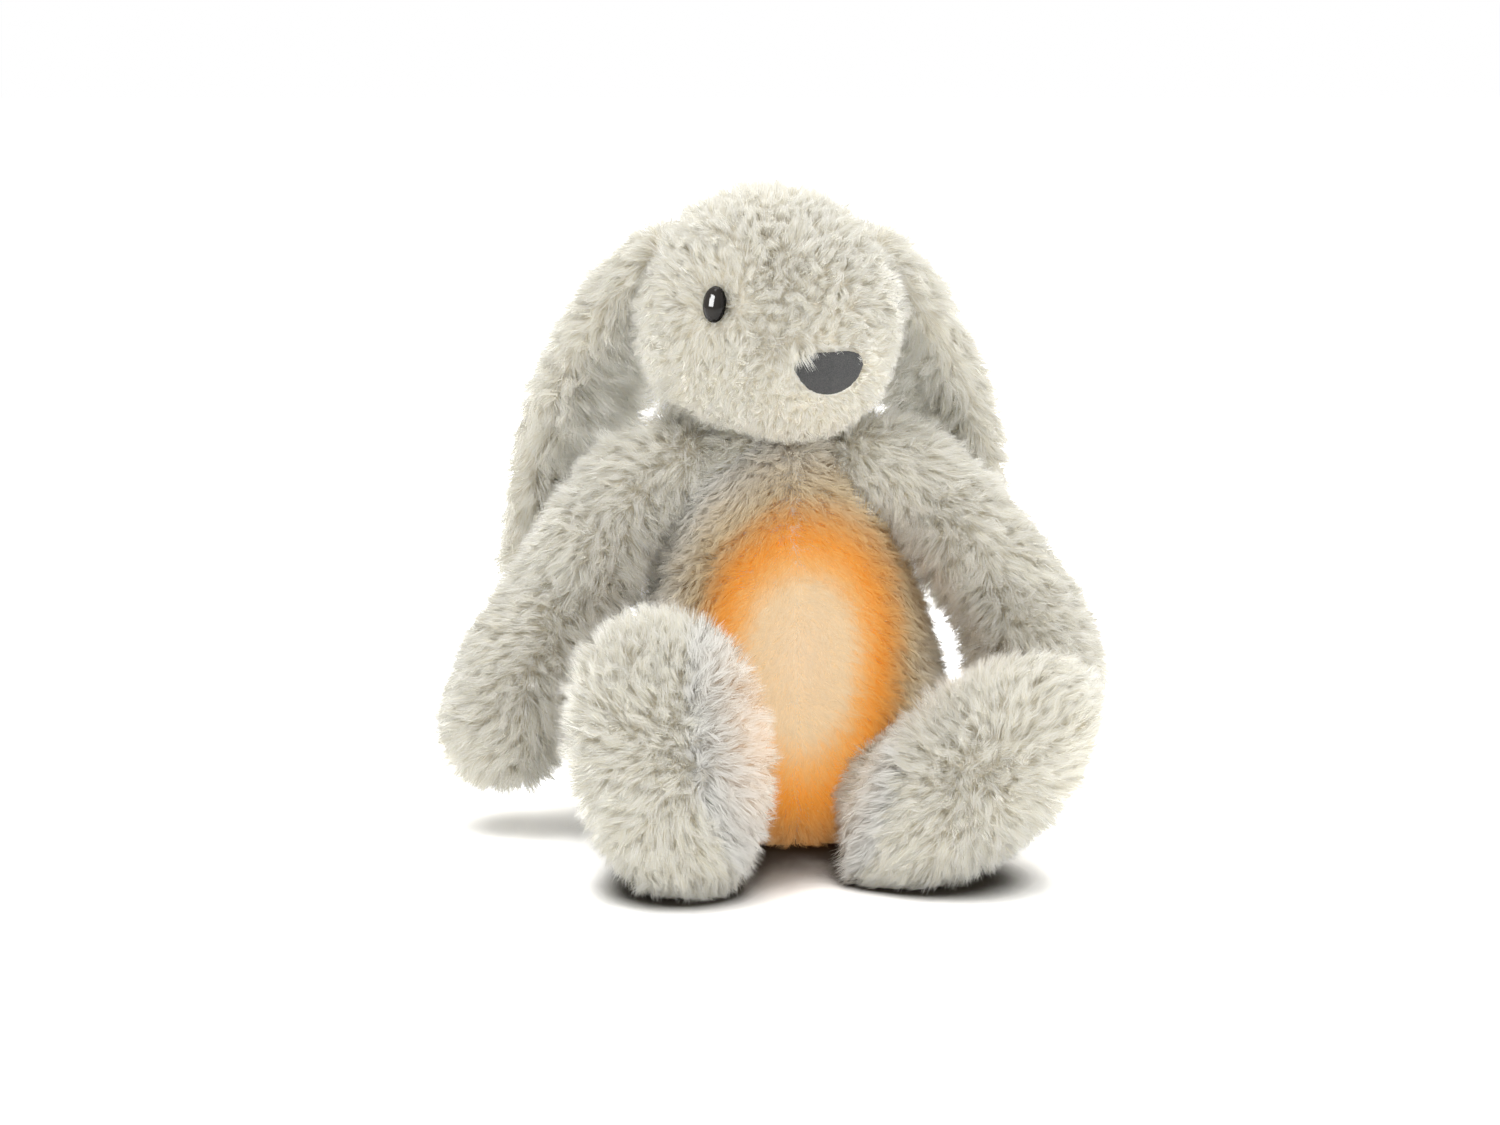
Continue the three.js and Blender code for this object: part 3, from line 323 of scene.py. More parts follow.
def fabric_material(name, dark, light, scale, roughness=0.9, sheen=0.3):
    material, tree, shader, _ = new_material(name)
    weave = object_noise(tree, scale)
    colour_by_noise(tree, shader, weave, dark, light)
    shader.inputs["Roughness"].default_value = roughness
    shader.inputs["Sheen Weight"].default_value = sheen
    add_bump(tree, weave, shader, WEAVE_BUMP, WEAVE_BUMP_DEPTH)
    return material


PLASTIC_SHADE = 0.92
PLASTIC_DARK_LEVEL = 0.35
PLASTIC_PALE_LEVEL = 0.65
PLASTIC_BUMP_DEPTH = 0.0002


def plastic_material(name, colour, roughness, grain=900.0, bump=0.08, coat=0.0):
    material, tree, shader, _ = new_material(name)
    mottle = object_noise(tree, grain)
    shade = tuple(channel * PLASTIC_SHADE for channel in colour)
    colour_by_noise(tree, shader, mottle, shade, colour, PLASTIC_DARK_LEVEL, PLASTIC_PALE_LEVEL)
    shader.inputs["Roughness"].default_value = roughness
    shader.inputs["Coat Weight"].default_value = coat
    add_bump(tree, mottle, shader, bump, PLASTIC_BUMP_DEPTH)
    return material


NICKEL_DARK = (0.50, 0.51, 0.52)
NICKEL_LIGHT = (0.66, 0.67, 0.68)
NICKEL_GRAIN = 1500.0
NICKEL_ROUGHNESS = 0.3
NICKEL_BUMP = 0.05
NICKEL_BUMP_DEPTH = 0.0001


def metal_material():
    material, tree, shader, _ = new_material("nickel_plate")
    brushed = object_noise(tree, NICKEL_GRAIN)
    colour_by_noise(tree, shader, brushed, NICKEL_DARK, NICKEL_LIGHT)
    shader.inputs["Metallic"].default_value = FULL
    shader.inputs["Roughness"].default_value = NICKEL_ROUGHNESS
    add_bump(tree, brushed, shader, NICKEL_BUMP, NICKEL_BUMP_DEPTH)
    return material


GLOWING_ROUGHNESS = 0.4


def glowing_plastic(name, colour, glow, strength):
    material = plastic_material(name, colour, GLOWING_ROUGHNESS)
    shader = material.node_tree.nodes["Principled BSDF"]
    shader.inputs["Emission Color"].default_value = (*glow, FULL)
    shader.inputs["Emission Strength"].default_value = strength
    return material


EYE_COLOUR = (0.004, 0.0035, 0.003)
EYE_ROUGHNESS = 0.05
EYE_SPECULAR = 0.1
pile = pile_material("pile", PILE_STOPS, PILE_TRANSLUCENCE)
lit_pile = lit_pile_material("lit_pile", LIT_STOPS, GLOW_STOPS)
spill_pile = lit_pile_material("spill_pile", SPILL_STOPS, SPILL_GLOW_STOPS)
backing = backing_material()
nose_felt = nose_material()
filling_white = fabric_material("fibre_fill", (0.74, 0.73, 0.70), (0.93, 0.92, 0.90), scale=260.0)
cotton = fabric_material("cotton_lining", (0.66, 0.63, 0.55), (0.84, 0.81, 0.73), scale=1400.0)
hook_and_loop = fabric_material("hook_and_loop", (0.52, 0.50, 0.43), (0.80, 0.78, 0.70), scale=3200.0)
eye_black = plastic_material("eye_plastic", EYE_COLOUR, EYE_ROUGHNESS, bump=0.0)
eye_black.node_tree.nodes["Principled BSDF"].inputs["Specular IOR Level"].default_value = EYE_SPECULAR
NODE_FINISHES = {
    "white_plastic": plastic_material("white_plastic", (0.82, 0.82, 0.80), roughness=0.45),
    "milky_plastic": glowing_plastic("milky_plastic", (0.95, 0.72, 0.42), (1.0, 0.62, 0.25), strength=1.5),
    "grey_plastic": plastic_material("grey_plastic", (0.27, 0.28, 0.29), roughness=0.5),
    "black_plastic": plastic_material("black_plastic", (0.02, 0.02, 0.02), roughness=0.4),
    "red_sleeve": plastic_material("red_sleeve", (0.45, 0.02, 0.015), roughness=0.35),
    "circuit_board": plastic_material("circuit_board", (0.015, 0.15, 0.05), roughness=0.3, coat=0.5),
    "amber_led": glowing_plastic("amber_led", (1.0, 0.45, 0.1), (1.0, 0.5, 0.12), strength=4.0),
    "cell_wrap": plastic_material("cell_wrap", (0.03, 0.035, 0.04), roughness=0.25, coat=0.6),
    "plated_steel": metal_material(),
}


# Soft pieces
def soft_mesh(name, nodes, voxel, rounds, lumps=0.0):
    """The nodes' solids as one even mesh, with their flat faces smoothed away and a few soft lumps."""
    shape = bmesh.new()
    for node in nodes:
        shape.from_mesh(frame["nodes"][node].data)
    bmesh.ops.remove_doubles(shape, verts=shape.verts, dist=WELD)
    draft = bpy.data.meshes.new(name + "_draft")
    shape.to_mesh(draft)
    shape.free()
    holder = bpy.data.objects.new(name + "_draft", draft)
    collection.objects.link(holder)
    remesh = holder.modifiers.new("even", "REMESH")
    remesh.mode = "VOXEL"
    remesh.voxel_size = voxel
    evaluated = holder.evaluated_get(bpy.context.evaluated_depsgraph_get())
    mesh = bpy.data.meshes.new_from_object(evaluated)
    bpy.data.objects.remove(holder)
    bpy.data.meshes.remove(draft)
    even = bmesh.new()
    even.from_mesh(mesh)
    keep_outer(even)
    for _ in range(rounds):
        bmesh.ops.smooth_vert(
            even, verts=even.verts, factor=HALF, use_axis_x=True, use_axis_y=True, use_axis_z=True,
        )
    even.normal_update()
    for vert in even.verts:
        lump = noise.noise(vert.co / LUMP_SIZE + Vector((len(name), 0, 0)))
        vert.co += vert.normal * lump * lumps
        vert.co.z = max(vert.co.z, 0)
    even.to_mesh(mesh)
    even.free()
    mesh.name = name
    return mesh


def keep_outer(shape):
    """Deletes every island but the tallest one, such as the walls of a hollow inside."""
    left = set(shape.verts)
    islands = []
    while left:
        island = {left.pop()}
        edge_of_island = list(island)
        while edge_of_island:
            vert = edge_of_island.pop()
            for edge in vert.link_edges:
                other = edge.other_vert(vert)
                if other in left:
                    left.remove(other)
                    island.add(other)
                    edge_of_island.append(other)
        islands.append(island)
    spans = [max(v.co.z for v in island) - min(v.co.z for v in island) for island in islands]
    outer = islands[spans.index(max(spans))]
    bmesh.ops.delete(shape, geom=[vert for vert in shape.verts if vert not in outer], context="VERTS")


def add_piece(name, mesh, material, body):
    mesh.materials.clear()
    mesh.materials.append(material)
    mesh.polygons.foreach_set("material_index", np.zeros(len(mesh.polygons), np.int32))
    mesh.shade_smooth()
    piece = bpy.data.objects.new(name, mesh)
    collection.objects.link(piece)
    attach(piece, body)
    return piece


def soft_piece(name, nodes, material, voxel, rounds, lumps=0.0):
    mesh = soft_mesh(name, nodes, voxel, rounds, lumps)
    piece = add_piece(name, mesh, material, body_of_node[nodes[0]])
    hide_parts(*nodes)
    return piece


# The torso's skin is open where the flap closes it, and the flap's own skin is the missing patch
INSIDE_TORSO = (
    "torso_plush", "torso_filling", "pellet_bag", "light_pouch", "pocket_cushion", "battery_flap",
    "hook_strip", "loop_strip", "front_housing", "rear_housing", "battery_door", "diffuser",
)
FLAP_GAP = 0.0008


def window_faces(shape, grow):
    low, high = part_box("battery_flap")
    return [
        face for face in shape.faces
        if low.x - grow < face.calc_center_median().x < high.x + grow
        and low.z - grow < face.calc_center_median().z < high.z + grow
        and face.calc_center_median().y > low.y - grow
    ]


def torso_skins():
    whole = soft_mesh("torso_skin", INSIDE_TORSO, SKIN_VOXEL, SKIN_ROUNDS, LUMP_DEPTH)
    patch = whole.copy()
    skins = []
    low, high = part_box("battery_flap")
    for mesh, name, node, grow, keep_inside in (
        (whole, "torso_skin", "torso_plush", FLAP_GAP, False),
        (patch, "flap_skin", "battery_flap", 0.0, True),
    ):
        shape = bmesh.new()
        shape.from_mesh(mesh)
        for point, normal in (
            ((low.x - grow, 0, 0), (1, 0, 0)), ((high.x + grow, 0, 0), (1, 0, 0)),
            ((0, 0, low.z - grow), (0, 0, 1)), ((0, 0, high.z + grow), (0, 0, 1)),
        ):
            near_back = [face for face in shape.faces if face.calc_center_median().y > low.y - SKIN_VOXEL]
            edges = {edge for face in near_back for edge in face.edges}
            verts = {vert for face in near_back for vert in face.verts}
            cut = [*verts, *edges, *near_back]
            bmesh.ops.bisect_plane(shape, geom=cut, plane_co=point, plane_no=normal)
        inside = set(window_faces(shape, grow))
        doomed = [face for face in shape.faces if (face in inside) != keep_inside]
        bmesh.ops.delete(shape, geom=doomed, context="FACES")
        shape.to_mesh(mesh)
        shape.free()
        piece = add_piece(name, mesh, backing, body_of_node[node])
        thickness = piece.modifiers.new("cloth", "SOLIDIFY")
        thickness.thickness = SKIN_THICKNESS
        thickness.offset = -1
        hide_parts(node)
        skins.append(piece)
    return skins


def plush_form(node):
    return soft_piece(
        node + "_skin", (node,), backing, SKIN_VOXEL, SKIN_ROUNDS, LUMP_DEPTH,
    )


torso_skin, flap_skin = torso_skins()
skins = {"torso_plush": torso_skin, "battery_flap": flap_skin}
for plush in (
    "head_plush", "ear_right", "ear_left", "arm_right", "arm_left",
    "leg_right", "leg_left", "foot_right", "foot_left", "tail",
):
    skins[plush] = plush_form(plush)


# Where strands root
class Roots:
    """Places on a skin where strands grow, with the skin's normal at each."""

    def __init__(self, places, normals):
        self.places = places
        self.normals = normals

    def only(self, chosen):
        return Roots(self.places[chosen], self.normals[chosen])


def surface_of(skin):
    mesh = skin.data
    mesh.calc_loop_triangles()
    corners = np.empty(len(mesh.loop_triangles) * 3, np.int32)
    mesh.loop_triangles.foreach_get("vertices", corners)
    places = np.empty(len(mesh.vertices) * 3, np.float32)
    mesh.vertices.foreach_get("co", places)
    normals = np.empty(len(mesh.vertices) * 3, np.float32)
    mesh.vertices.foreach_get("normal", normals)
    corners = corners.reshape(-1, 3)
    return places.reshape(-1, 3)[corners].astype(float), normals.reshape(-1, 3)[corners].astype(float)


def scattered(skin, density, chance):
    """Seeded, even-handed places on a skin; density is a function of place and normal."""
    places, normals = surface_of(skin)
    across = np.cross(places[:, 1] - places[:, 0], places[:, 2] - places[:, 0])
    areas = np.linalg.norm(across, axis=1) * HALF
    wanted = np.cumsum(areas * density(places.mean(axis=1), unit(normals.mean(axis=1))))
    count = int(wanted[-1])
    marks = (np.arange(count) + chance.random(count)) / count * wanted[-1]
    picked = np.searchsorted(wanted, marks)
    first = np.sqrt(chance.random(count))
    second = chance.random(count)
    shares = np.stack((1 - first, first * (1 - second), first * second), axis=1)[:, :, None]
    return Roots((places[picked] * shares).sum(axis=1), unit((normals[picked] * shares).sum(axis=1)))


def unit(vectors):
    return vectors / np.maximum(np.linalg.norm(vectors, axis=1, keepdims=True), TINY)


def along_skin(vectors, normals):
    """The part of each vector that lies in the skin."""
    return vectors - normals * (vectors * normals).sum(axis=1, keepdims=True)


def waves(places, size, shift):
    return np.array([noise.noise_vector(Vector(place) / size + shift) for place in places])


# The nearest other forms, so that pile is missing or short where something else lies on the skin
PLUSH_FORMS = (
    "torso_plush", "head_plush", "ear_right", "ear_left", "arm_right", "arm_left", "leg_right", "leg_left",
    "foot_right", "foot_left", "tail",
)
FACE_PIECES = ("eye_right", "eye_left", "nose_patch")


def near_any(places, nodes, reach):
    if not nodes:
        return np.zeros(len(places), bool)
    shape = bmesh.new()
    for node in nodes:
        shape.from_mesh(frame["nodes"][node].data)
    tree = BVHTree.FromBMesh(shape)
    shape.free()
    return np.array([tree.find_nearest(Vector(place), reach)[0] is not None for place in places])


def neighbours(node, on_same_body):
    mine = ("torso_plush", "battery_flap") if node in INSIDE_TORSO else (node,)
    return [
        form for form in PLUSH_FORMS
        if form not in mine and (body_of_node[form] == body_of_node[mine[0]]) == on_same_body
    ]


def covered(roots, node):
    """Where nothing grows: under the pieces of the face, and where a form of the same body is sewn on."""
    by_forms = near_any(roots.places, neighbours(node, True), COVERED_WITHIN)
    return by_forms | near_any(roots.places, FACE_PIECES, COVERED_BY_FACE_WITHIN)


def pressed(roots, node):
    """Where a form that moves lies on the skin, so that only a thin, short nap grows there."""
    return near_any(roots.places, neighbours(node, False), COVERED_WITHIN)


def strand_template():
    """Heights, sideways places and faces of one blade: a strip of two faces, drawn to a point."""
    blade = bmesh.new()
    bmesh.ops.create_grid(blade, x_segments=1, y_segments=2, size=1)
    far = [vert for vert in blade.verts if vert.co.y > HALF]
    bmesh.ops.pointmerge(blade, verts=far, merge_co=(0, 1, 0))
    for vert in blade.verts:
        vert.co.y = (vert.co.y + 1) * HALF
    blade.verts.index_update()
    spots = np.array([vert.co for vert in blade.verts])
    faces = [[vert.index for vert in face.verts] for face in blade.faces]
    blade.free()
    return spots[:, 1], spots[:, 0], faces


HEIGHTS, SIDES, FACES = strand_template()


def strand_paths(roots, combs, lengths):
    """The bend and tip of each strand: it leans the way it is combed, more towards its tip."""
    amount = np.minimum(np.linalg.norm(combs, axis=1, keepdims=True), FULL)
    way = unit(combs)
    lean = amount * FULL_LEAN
    low_way = roots.normals * np.cos(lean * LEAN_AT_BEND) + way * np.sin(lean * LEAN_AT_BEND)
    high_way = roots.normals * np.cos(lean * LEAN_AT_TIP) + way * np.sin(lean * LEAN_AT_TIP)
    bends = roots.places + low_way * lengths[:, None] * STRAND_BEND
    return bends, bends + high_way * lengths[:, None] * (1 - STRAND_BEND)


def tufted(roots, tufts, comb, length, chance, tilt):
    """Bends and tips of all strands, drawn towards the middle of the tuft that each belongs to."""
    tree = kdtree.KDTree(len(tufts.places))
    for index, place in enumerate(tufts.places):
        tree.insert(Vector(place), index)
    tree.balance()
    blurred = roots.places + chance.normal(size=roots.places.shape) * TUFT_BLUR
    owner = np.array([tree.find(Vector(place))[1] for place in blurred])
    tuft_tilts = waves(tufts.places, WAVE_SIZE, Vector((0, 0, 0))) * WAVE_TILT * tilt
    tuft_tilts += chance.normal(size=tufts.places.shape) * TUFT_TILT * tilt
    tuft_lengths = length(tufts) * chance.uniform(LENGTH_LOW, LENGTH_HIGH, len(tufts.places))
    tuft_combs = along_skin(comb(tufts) + tuft_tilts, tufts.normals)
    tuft_bends, tuft_tips = strand_paths(tufts, tuft_combs, tuft_lengths)
    combs = comb(roots) + tuft_tilts[owner] + chance.normal(size=roots.places.shape) * STRAND_TILT
    lengths = tuft_lengths[owner] * chance.uniform(LENGTH_LOW, FULL, len(roots.places))
    bends, tips = strand_paths(roots, along_skin(combs, roots.normals), lengths)
    pull = chance.uniform(LENGTH_LOW, FULL, (len(roots.places), 1))
    bends += (tuft_bends[owner] - bends) * pull * TUFT_PULL_AT_BEND
    tips += (tuft_tips[owner] - tips) * pull * TUFT_PULL_AT_TIP
    return bends, tips


def strands_mesh(name, roots, bends, tips, across, chance):
    """One mesh of many blades: the template's points set along each strand's path."""
    count = len(roots.places)
    feet = roots.places - roots.normals * STRAND_SINK
    way = unit(tips - feet)
    flat = unit(np.cross(way, roots.normals))
    face = unit(np.cross(flat, way))
    twist = chance.normal(size=(count, 1)) * STRAND_TWIST
    side = flat * np.cos(twist) + face * np.sin(twist)
    outward = face * np.cos(twist) - flat * np.sin(twist)
    at_foot = HEIGHTS < WELD
    at_tip = HEIGHTS > 1 - WELD
    upper_path = np.where(at_tip[None, :, None], tips[:, None], bends[:, None])
    path = np.where(at_foot[None, :, None], feet[:, None], upper_path)
    upper_widths = np.where(at_tip, 0, STRAND_BEND_RADIUS_SHARE)
    widths = np.where(at_foot, FULL, upper_widths) * STRAND_RADIUS
    points = path + side[:, None] * (SIDES * widths)[None, :, None]
    points[:, :, 2] = np.maximum(points[:, :, 2], FLOOR_REST)
    rounded = outward[:, None] + side[:, None] * SIDES[None, :, None]
    shading = roots.normals[:, None] * SKIN_SHADING + rounded * (1 - SKIN_SHADING)
    corners = np.concatenate([np.array(face) for face in FACES])
    sizes = np.array([len(face) for face in FACES])
    per_strand = len(HEIGHTS)
    mesh = bpy.data.meshes.new(name)
    mesh.vertices.add(count * per_strand)
    mesh.vertices.foreach_set("co", points.astype(np.float32).ravel())
    mesh.loops.add(count * len(corners))
    all_corners = (corners[None] + np.arange(count)[:, None] * per_strand).ravel()
    mesh.loops.foreach_set("vertex_index", all_corners.astype(np.int32))
    mesh.polygons.add(count * len(FACES))
    starts = np.concatenate(([0], np.cumsum(sizes)[:-1]))
    all_starts = (starts[None] + np.arange(count)[:, None] * len(corners)).ravel()
    mesh.polygons.foreach_set("loop_start", all_starts.astype(np.int32))
    strand_map = mesh.uv_layers.new(name="OFBake")
    shares = np.stack(
        (np.repeat(across, len(corners)), np.tile(HEIGHTS[corners], count)), axis=1,
    )
    strand_map.data.foreach_set("uv", shares.astype(np.float32).ravel())
    mesh.update(calc_edges=True)
    mesh.validate()
    mesh.shade_smooth()
    mesh.normals_split_custom_set_from_vertices(unit(shading.reshape(-1, 3)).astype(np.float32))
    return mesh


def add_strands(name, body, material, roots, bends, tips, across, chance):
    """The strands as pieces of a size that stays whole in every export, each a slice from side to side."""
    order = np.argsort(roots.places[:, 0])
    slices = np.array_split(order, math.ceil(len(order) / STRANDS_IN_PIECE))
    for number, part in enumerate(slices):
        piece_name = f"{name}_{number + 1}"
        mesh = strands_mesh(piece_name, roots.only(part), bends[part], tips[part], across[part], chance)
        add_piece(mesh.name, mesh, material, body)


def front_dense(places, normals):
    """Strands to the square metre: most where the skin faces forward."""
    facing = np.clip(-normals[:, 1] * DENSITY_GAIN + DENSITY_AT_SIDE, 0, 1)
    return DENSITY_BACK + (DENSITY_FRONT - DENSITY_BACK) * facing


def grow_pile(node, seed, comb, length, spacing=TUFT_SPACING, tilt=FULL, lit=None, lit_material=None):
    """Pile on the skin of one form: comb gives a lean along the skin, length a strand's length."""
    chance = np.random.default_rng(seed)
    skin = skins[node]
    body = body_of_node[node]
    roots = scattered(skin, front_dense, chance)
    roots = roots.only(~covered(roots, node))
    roots = roots.only(~((roots.places[:, 2] < SEAT_RIM) & (roots.normals[:, 2] < SEAT_FACING)))
    nap = pressed(roots, node)
    kept = ~nap | (np.arange(len(nap)) % NAP_THINNING == 0)
    roots = roots.only(kept)
    tufts = scattered(skin, lambda places, normals: np.full(len(places), 1 / spacing ** 2), chance)
    bends, tips = tufted(roots, tufts, comb, length, chance, tilt)
    shares = np.where(nap[kept], NAP_SHARE, FULL)[:, None]
    bends = roots.places + (bends - roots.places) * shares
    tips = roots.places + (tips - roots.places) * shares
    tints = chance.random(len(roots.places))
    if lit is None:
        add_strands(f"{node}_pile", body, pile, roots, bends, tips, tints, chance)
        return
    levels = lit(roots)
    bright = levels > 0
    for name, material, group, across in (
        (f"{node}_lit_pile", lit_material, bright, levels), (f"{node}_pile", pile, ~bright, tints),
    ):
        if group.any():
            grown = roots.only(group)
            add_strands(name, body, material, grown, bends[group], tips[group], across[group], chance)


# How each form's pile is combed and how long it is. A comb of 1 lays the strand nearly flat on the skin
PILE_LONG = 0.0125
PILE_MIDDLE = 0.010
PILE_SIDES = 0.017
HEAD_TUFTS = 0.0026
EAR_TUFTS = 0.0025
LIMB_TUFTS = 0.0023
HEAD_TILT = 1.5
EAR_TILT = 1.2
ARM_TILT = 1.1
FOOT_TILT = 1.2


def nearness(places, centre, reach):
    distance = np.linalg.norm(places - np.array(centre), axis=1)
    return np.exp(-((distance / reach) ** 2))[:, None]


def whorl(roots, centre, reach):
    """Away from a place, fading out over a reach."""
    return unit(roots.places - np.array(centre)) * nearness(roots.places, centre, reach)


# The head: each eye, how strongly the pile is combed away from it, and how much shorter it is there
EYE_PILE = ((middle_of("eye_right"), 0.85, 0.9), (middle_of("eye_left"), 0.05, -0.5))
nose = middle_of("nose_patch")
head_middle = middle_of("head_plush")
chin_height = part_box("head_plush")[0].z

# Where the pile above the nose falls over the nose's upper edge, on the rabbit's right
nose_fringe = nose + Vector((-0.0125, -0.002, 0.0100))
NOSE_FRINGE_REACH = 0.007
NOSE_FRINGE_WAY = np.array((0.4, 0.0, -1.0))
NOSE_FRINGE_COMB = 1.2
NOSE_FRINGE_LONGER = 1.4

# Where longer, upright pile stands in front of the rabbit's left eye
far_eye_fringe = middle_of("eye_left") + Vector((-0.004, -0.006, 0.0))
FAR_EYE_UPRIGHT_REACH = 0.012
FAR_EYE_LONG_REACH = 0.010
FAR_EYE_COMB = 0.3

# Where longer pile at the back of the rabbit's right cheek meets its shoulder
CHEEK_FRINGE_OFFSET = Vector((0.012, 0.008, 0.010))
cheek_corner = Vector((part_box("head_plush")[0].x, head_middle.y, chin_height))
cheek_fringe = cheek_corner + CHEEK_FRINGE_OFFSET
CHEEK_FRINGE_REACH = 0.0125

EYE_WHORL_REACH = 0.030
NOSE_WHORL_REACH = 0.045
NOSE_WHORL_COMB = 0.55
NOSE_EDGE_REACH = 0.017
NOSE_EDGE_COMB = 0.45
HEAD_COMB_DOWN = 0.3
BRIDGE_REACH = 0.03
HEAD_RISE = 0.05
HEAD_BACK_DEPTH = 0.02
EYE_SHORT_REACH = 0.011
NOSE_SHORT_REACH = 0.018
HEAD_PILE = 0.0055
HEAD_PILE_ON_TOP = 0.0043
HEAD_PILE_AT_BACK = 0.005
HEAD_PILE_AT_CHEEK = 0.013
FACE_SHORTENING = 0.5
FACE_LONGEST = -0.9


def comb_head(roots):
    fringe = nearness(roots.places, nose_fringe, NOSE_FRINGE_REACH)
    upright = nearness(roots.places, far_eye_fringe, FAR_EYE_UPRIGHT_REACH)
    loose = nearness(roots.places, cheek_fringe, CHEEK_FRINGE_REACH)
    comb = (
        sum(whorl(roots, eye, EYE_WHORL_REACH) * combed for eye, combed, _ in EYE_PILE)
        + whorl(roots, nose, NOSE_WHORL_REACH) * NOSE_WHORL_COMB
        - whorl(roots, nose, NOSE_EDGE_REACH) * NOSE_EDGE_COMB
        + DOWN * HEAD_COMB_DOWN * (1 - nearness(roots.places, nose, BRIDGE_REACH))
        + NOSE_FRINGE_WAY * NOSE_FRINGE_COMB * fringe
    )
    return comb * (1 - upright) * (1 - loose) + LEFT * FAR_EYE_COMB * upright


def length_head(roots):
    rise = np.clip((roots.places[:, 2] - chin_height) / HEAD_RISE, 0, 1)
    back = np.clip((roots.places[:, 1] - head_middle.y) / HEAD_BACK_DEPTH, 0, 1)
    at_cheek = nearness(roots.places, cheek_fringe, CHEEK_FRINGE_REACH)[:, 0]
    near_face = sum(nearness(roots.places, eye, EYE_SHORT_REACH) * shorter for eye, _, shorter in EYE_PILE)
    near_face += nearness(roots.places, nose, NOSE_SHORT_REACH)
    near_face -= nearness(roots.places, nose_fringe, NOSE_FRINGE_REACH) * NOSE_FRINGE_LONGER
    near_face -= nearness(roots.places, far_eye_fringe, FAR_EYE_LONG_REACH)
    length = HEAD_PILE + HEAD_PILE_ON_TOP * rise + HEAD_PILE_AT_BACK * back + HEAD_PILE_AT_CHEEK * at_cheek
    return length * (1 - FACE_SHORTENING * np.clip(near_face[:, 0], FACE_LONGEST, 1))


# The torso
TORSO_FRONT_HALF_WIDTH = 0.042
TORSO_SIDE_WIDTH = 0.018
TORSO_COMB_DOWN = 0.5
TORSO_COMB_LESS_AT_SIDES = 0.25
TORSO_COMB_ASIDE = 0.3
BACK_COMB_DOWN = 0.5


def sideness(roots):
    """0 on the front and back of the torso, 1 at its sides."""
    return np.clip((np.abs(roots.places[:, 0] - seat.x) - TORSO_FRONT_HALF_WIDTH) / TORSO_SIDE_WIDTH, 0, 1)


def comb_torso(roots):
    aside = np.sign(roots.places[:, :1] - seat.x) * LEFT
    down = TORSO_COMB_DOWN - TORSO_COMB_LESS_AT_SIDES * sideness(roots)[:, None]
    return DOWN * down + aside * TORSO_COMB_ASIDE


def length_torso(roots):
    return PILE_MIDDLE + (PILE_SIDES - PILE_MIDDLE) * sideness(roots)


def comb_down(roots):
    return np.tile(DOWN * BACK_COMB_DOWN, (len(roots.places), 1))


def even_length(length):
    return lambda roots: np.full(len(roots.places), length)


# Arms and legs: the comb down and outwards, and the length of the arms' outer and inner pile
ARM_COMB = (0.25, 0.5)
ARM_PILE = (0.0125, 0.018)
LEG_COMB = (0.4, 0.4)
LIMB_FACING = 0.6


def comb_limb(side, down, aside):
    outward = RIGHT if side == "right" else LEFT

    def comb(roots):
        facing = np.clip(roots.normals @ outward + LIMB_FACING, 0, 1)[:, None]
        return DOWN * down + outward * aside * facing

    return comb


def length_limb(side, outer, inner):
    """Longer at the edges, most on the side that faces the body, where it fills the space between."""
    inward = LEFT if side == "right" else RIGHT

    def length(roots):
        facing = roots.normals @ inward
        longer_inside = (inner - PILE_LONG) * np.clip(facing, 0, 1)
        longer_outside = (outer - PILE_LONG) * np.clip(-facing, 0, 1)
        return PILE_LONG + longer_inside + longer_outside

    return length


# Ears, with longer pile at the tip and, on the rabbit's right, beside the cheek
EAR_COMB = (0.4, 0.35)
EAR_PILE = (0.015, 0.019)
EAR_PILE_EXTRA = 0.011
EAR_PILE_AT_TIP = 0.006
EAR_TIP_REACH = 0.02
CHEEK_REACH = 0.018
CHEEK_RISE = 0.010
cheek_height = chin_height + CHEEK_RISE


def beside_cheek(roots, side):
    """1 on the ear's edge at the height of the cheek, fading out above, below and round the edge."""
    inward = np.clip(roots.normals @ (LEFT if side == "right" else RIGHT), 0, 1)
    return np.exp(-(((roots.places[:, 2] - cheek_height) / CHEEK_REACH) ** 2)) * inward


def comb_ear(side):
    """Combed as the limbs are, but straight out beside the cheek."""
    edge_comb = comb_limb(side, *EAR_COMB)
    return lambda roots: edge_comb(roots) * (1 - beside_cheek(roots, side)[:, None])


def length_ear(side, extra):
    """As long as a limb's, with the extra length beside the cheek, where it closes the space behind."""
    edge_length = length_limb(side, *EAR_PILE)
    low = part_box("ear_" + side)[0].z

    def length(roots):
        near_tip = np.clip(1 - (roots.places[:, 2] - low) / EAR_TIP_REACH, 0, 1)
        at_tip = near_tip * np.clip(-roots.normals[:, 2], 0, 1)
        return edge_length(roots) + extra * beside_cheek(roots, side) + EAR_PILE_AT_TIP * at_tip

    return length


# Feet: combed outwards from the middle of the sole
FOOT_COMB_OUT = 0.95
FOOT_COMB_DOWN = 0.08


def comb_foot(node):
    centre = np.array(middle_of(node))
    low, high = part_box(node)
    span = (high.z - low.z) * HALF

    def comb(roots):
        offset = roots.places - centre
        offset[:, 1] = 0
        return offset / span * FOOT_COMB_OUT + DOWN * FOOT_COMB_DOWN

    return comb


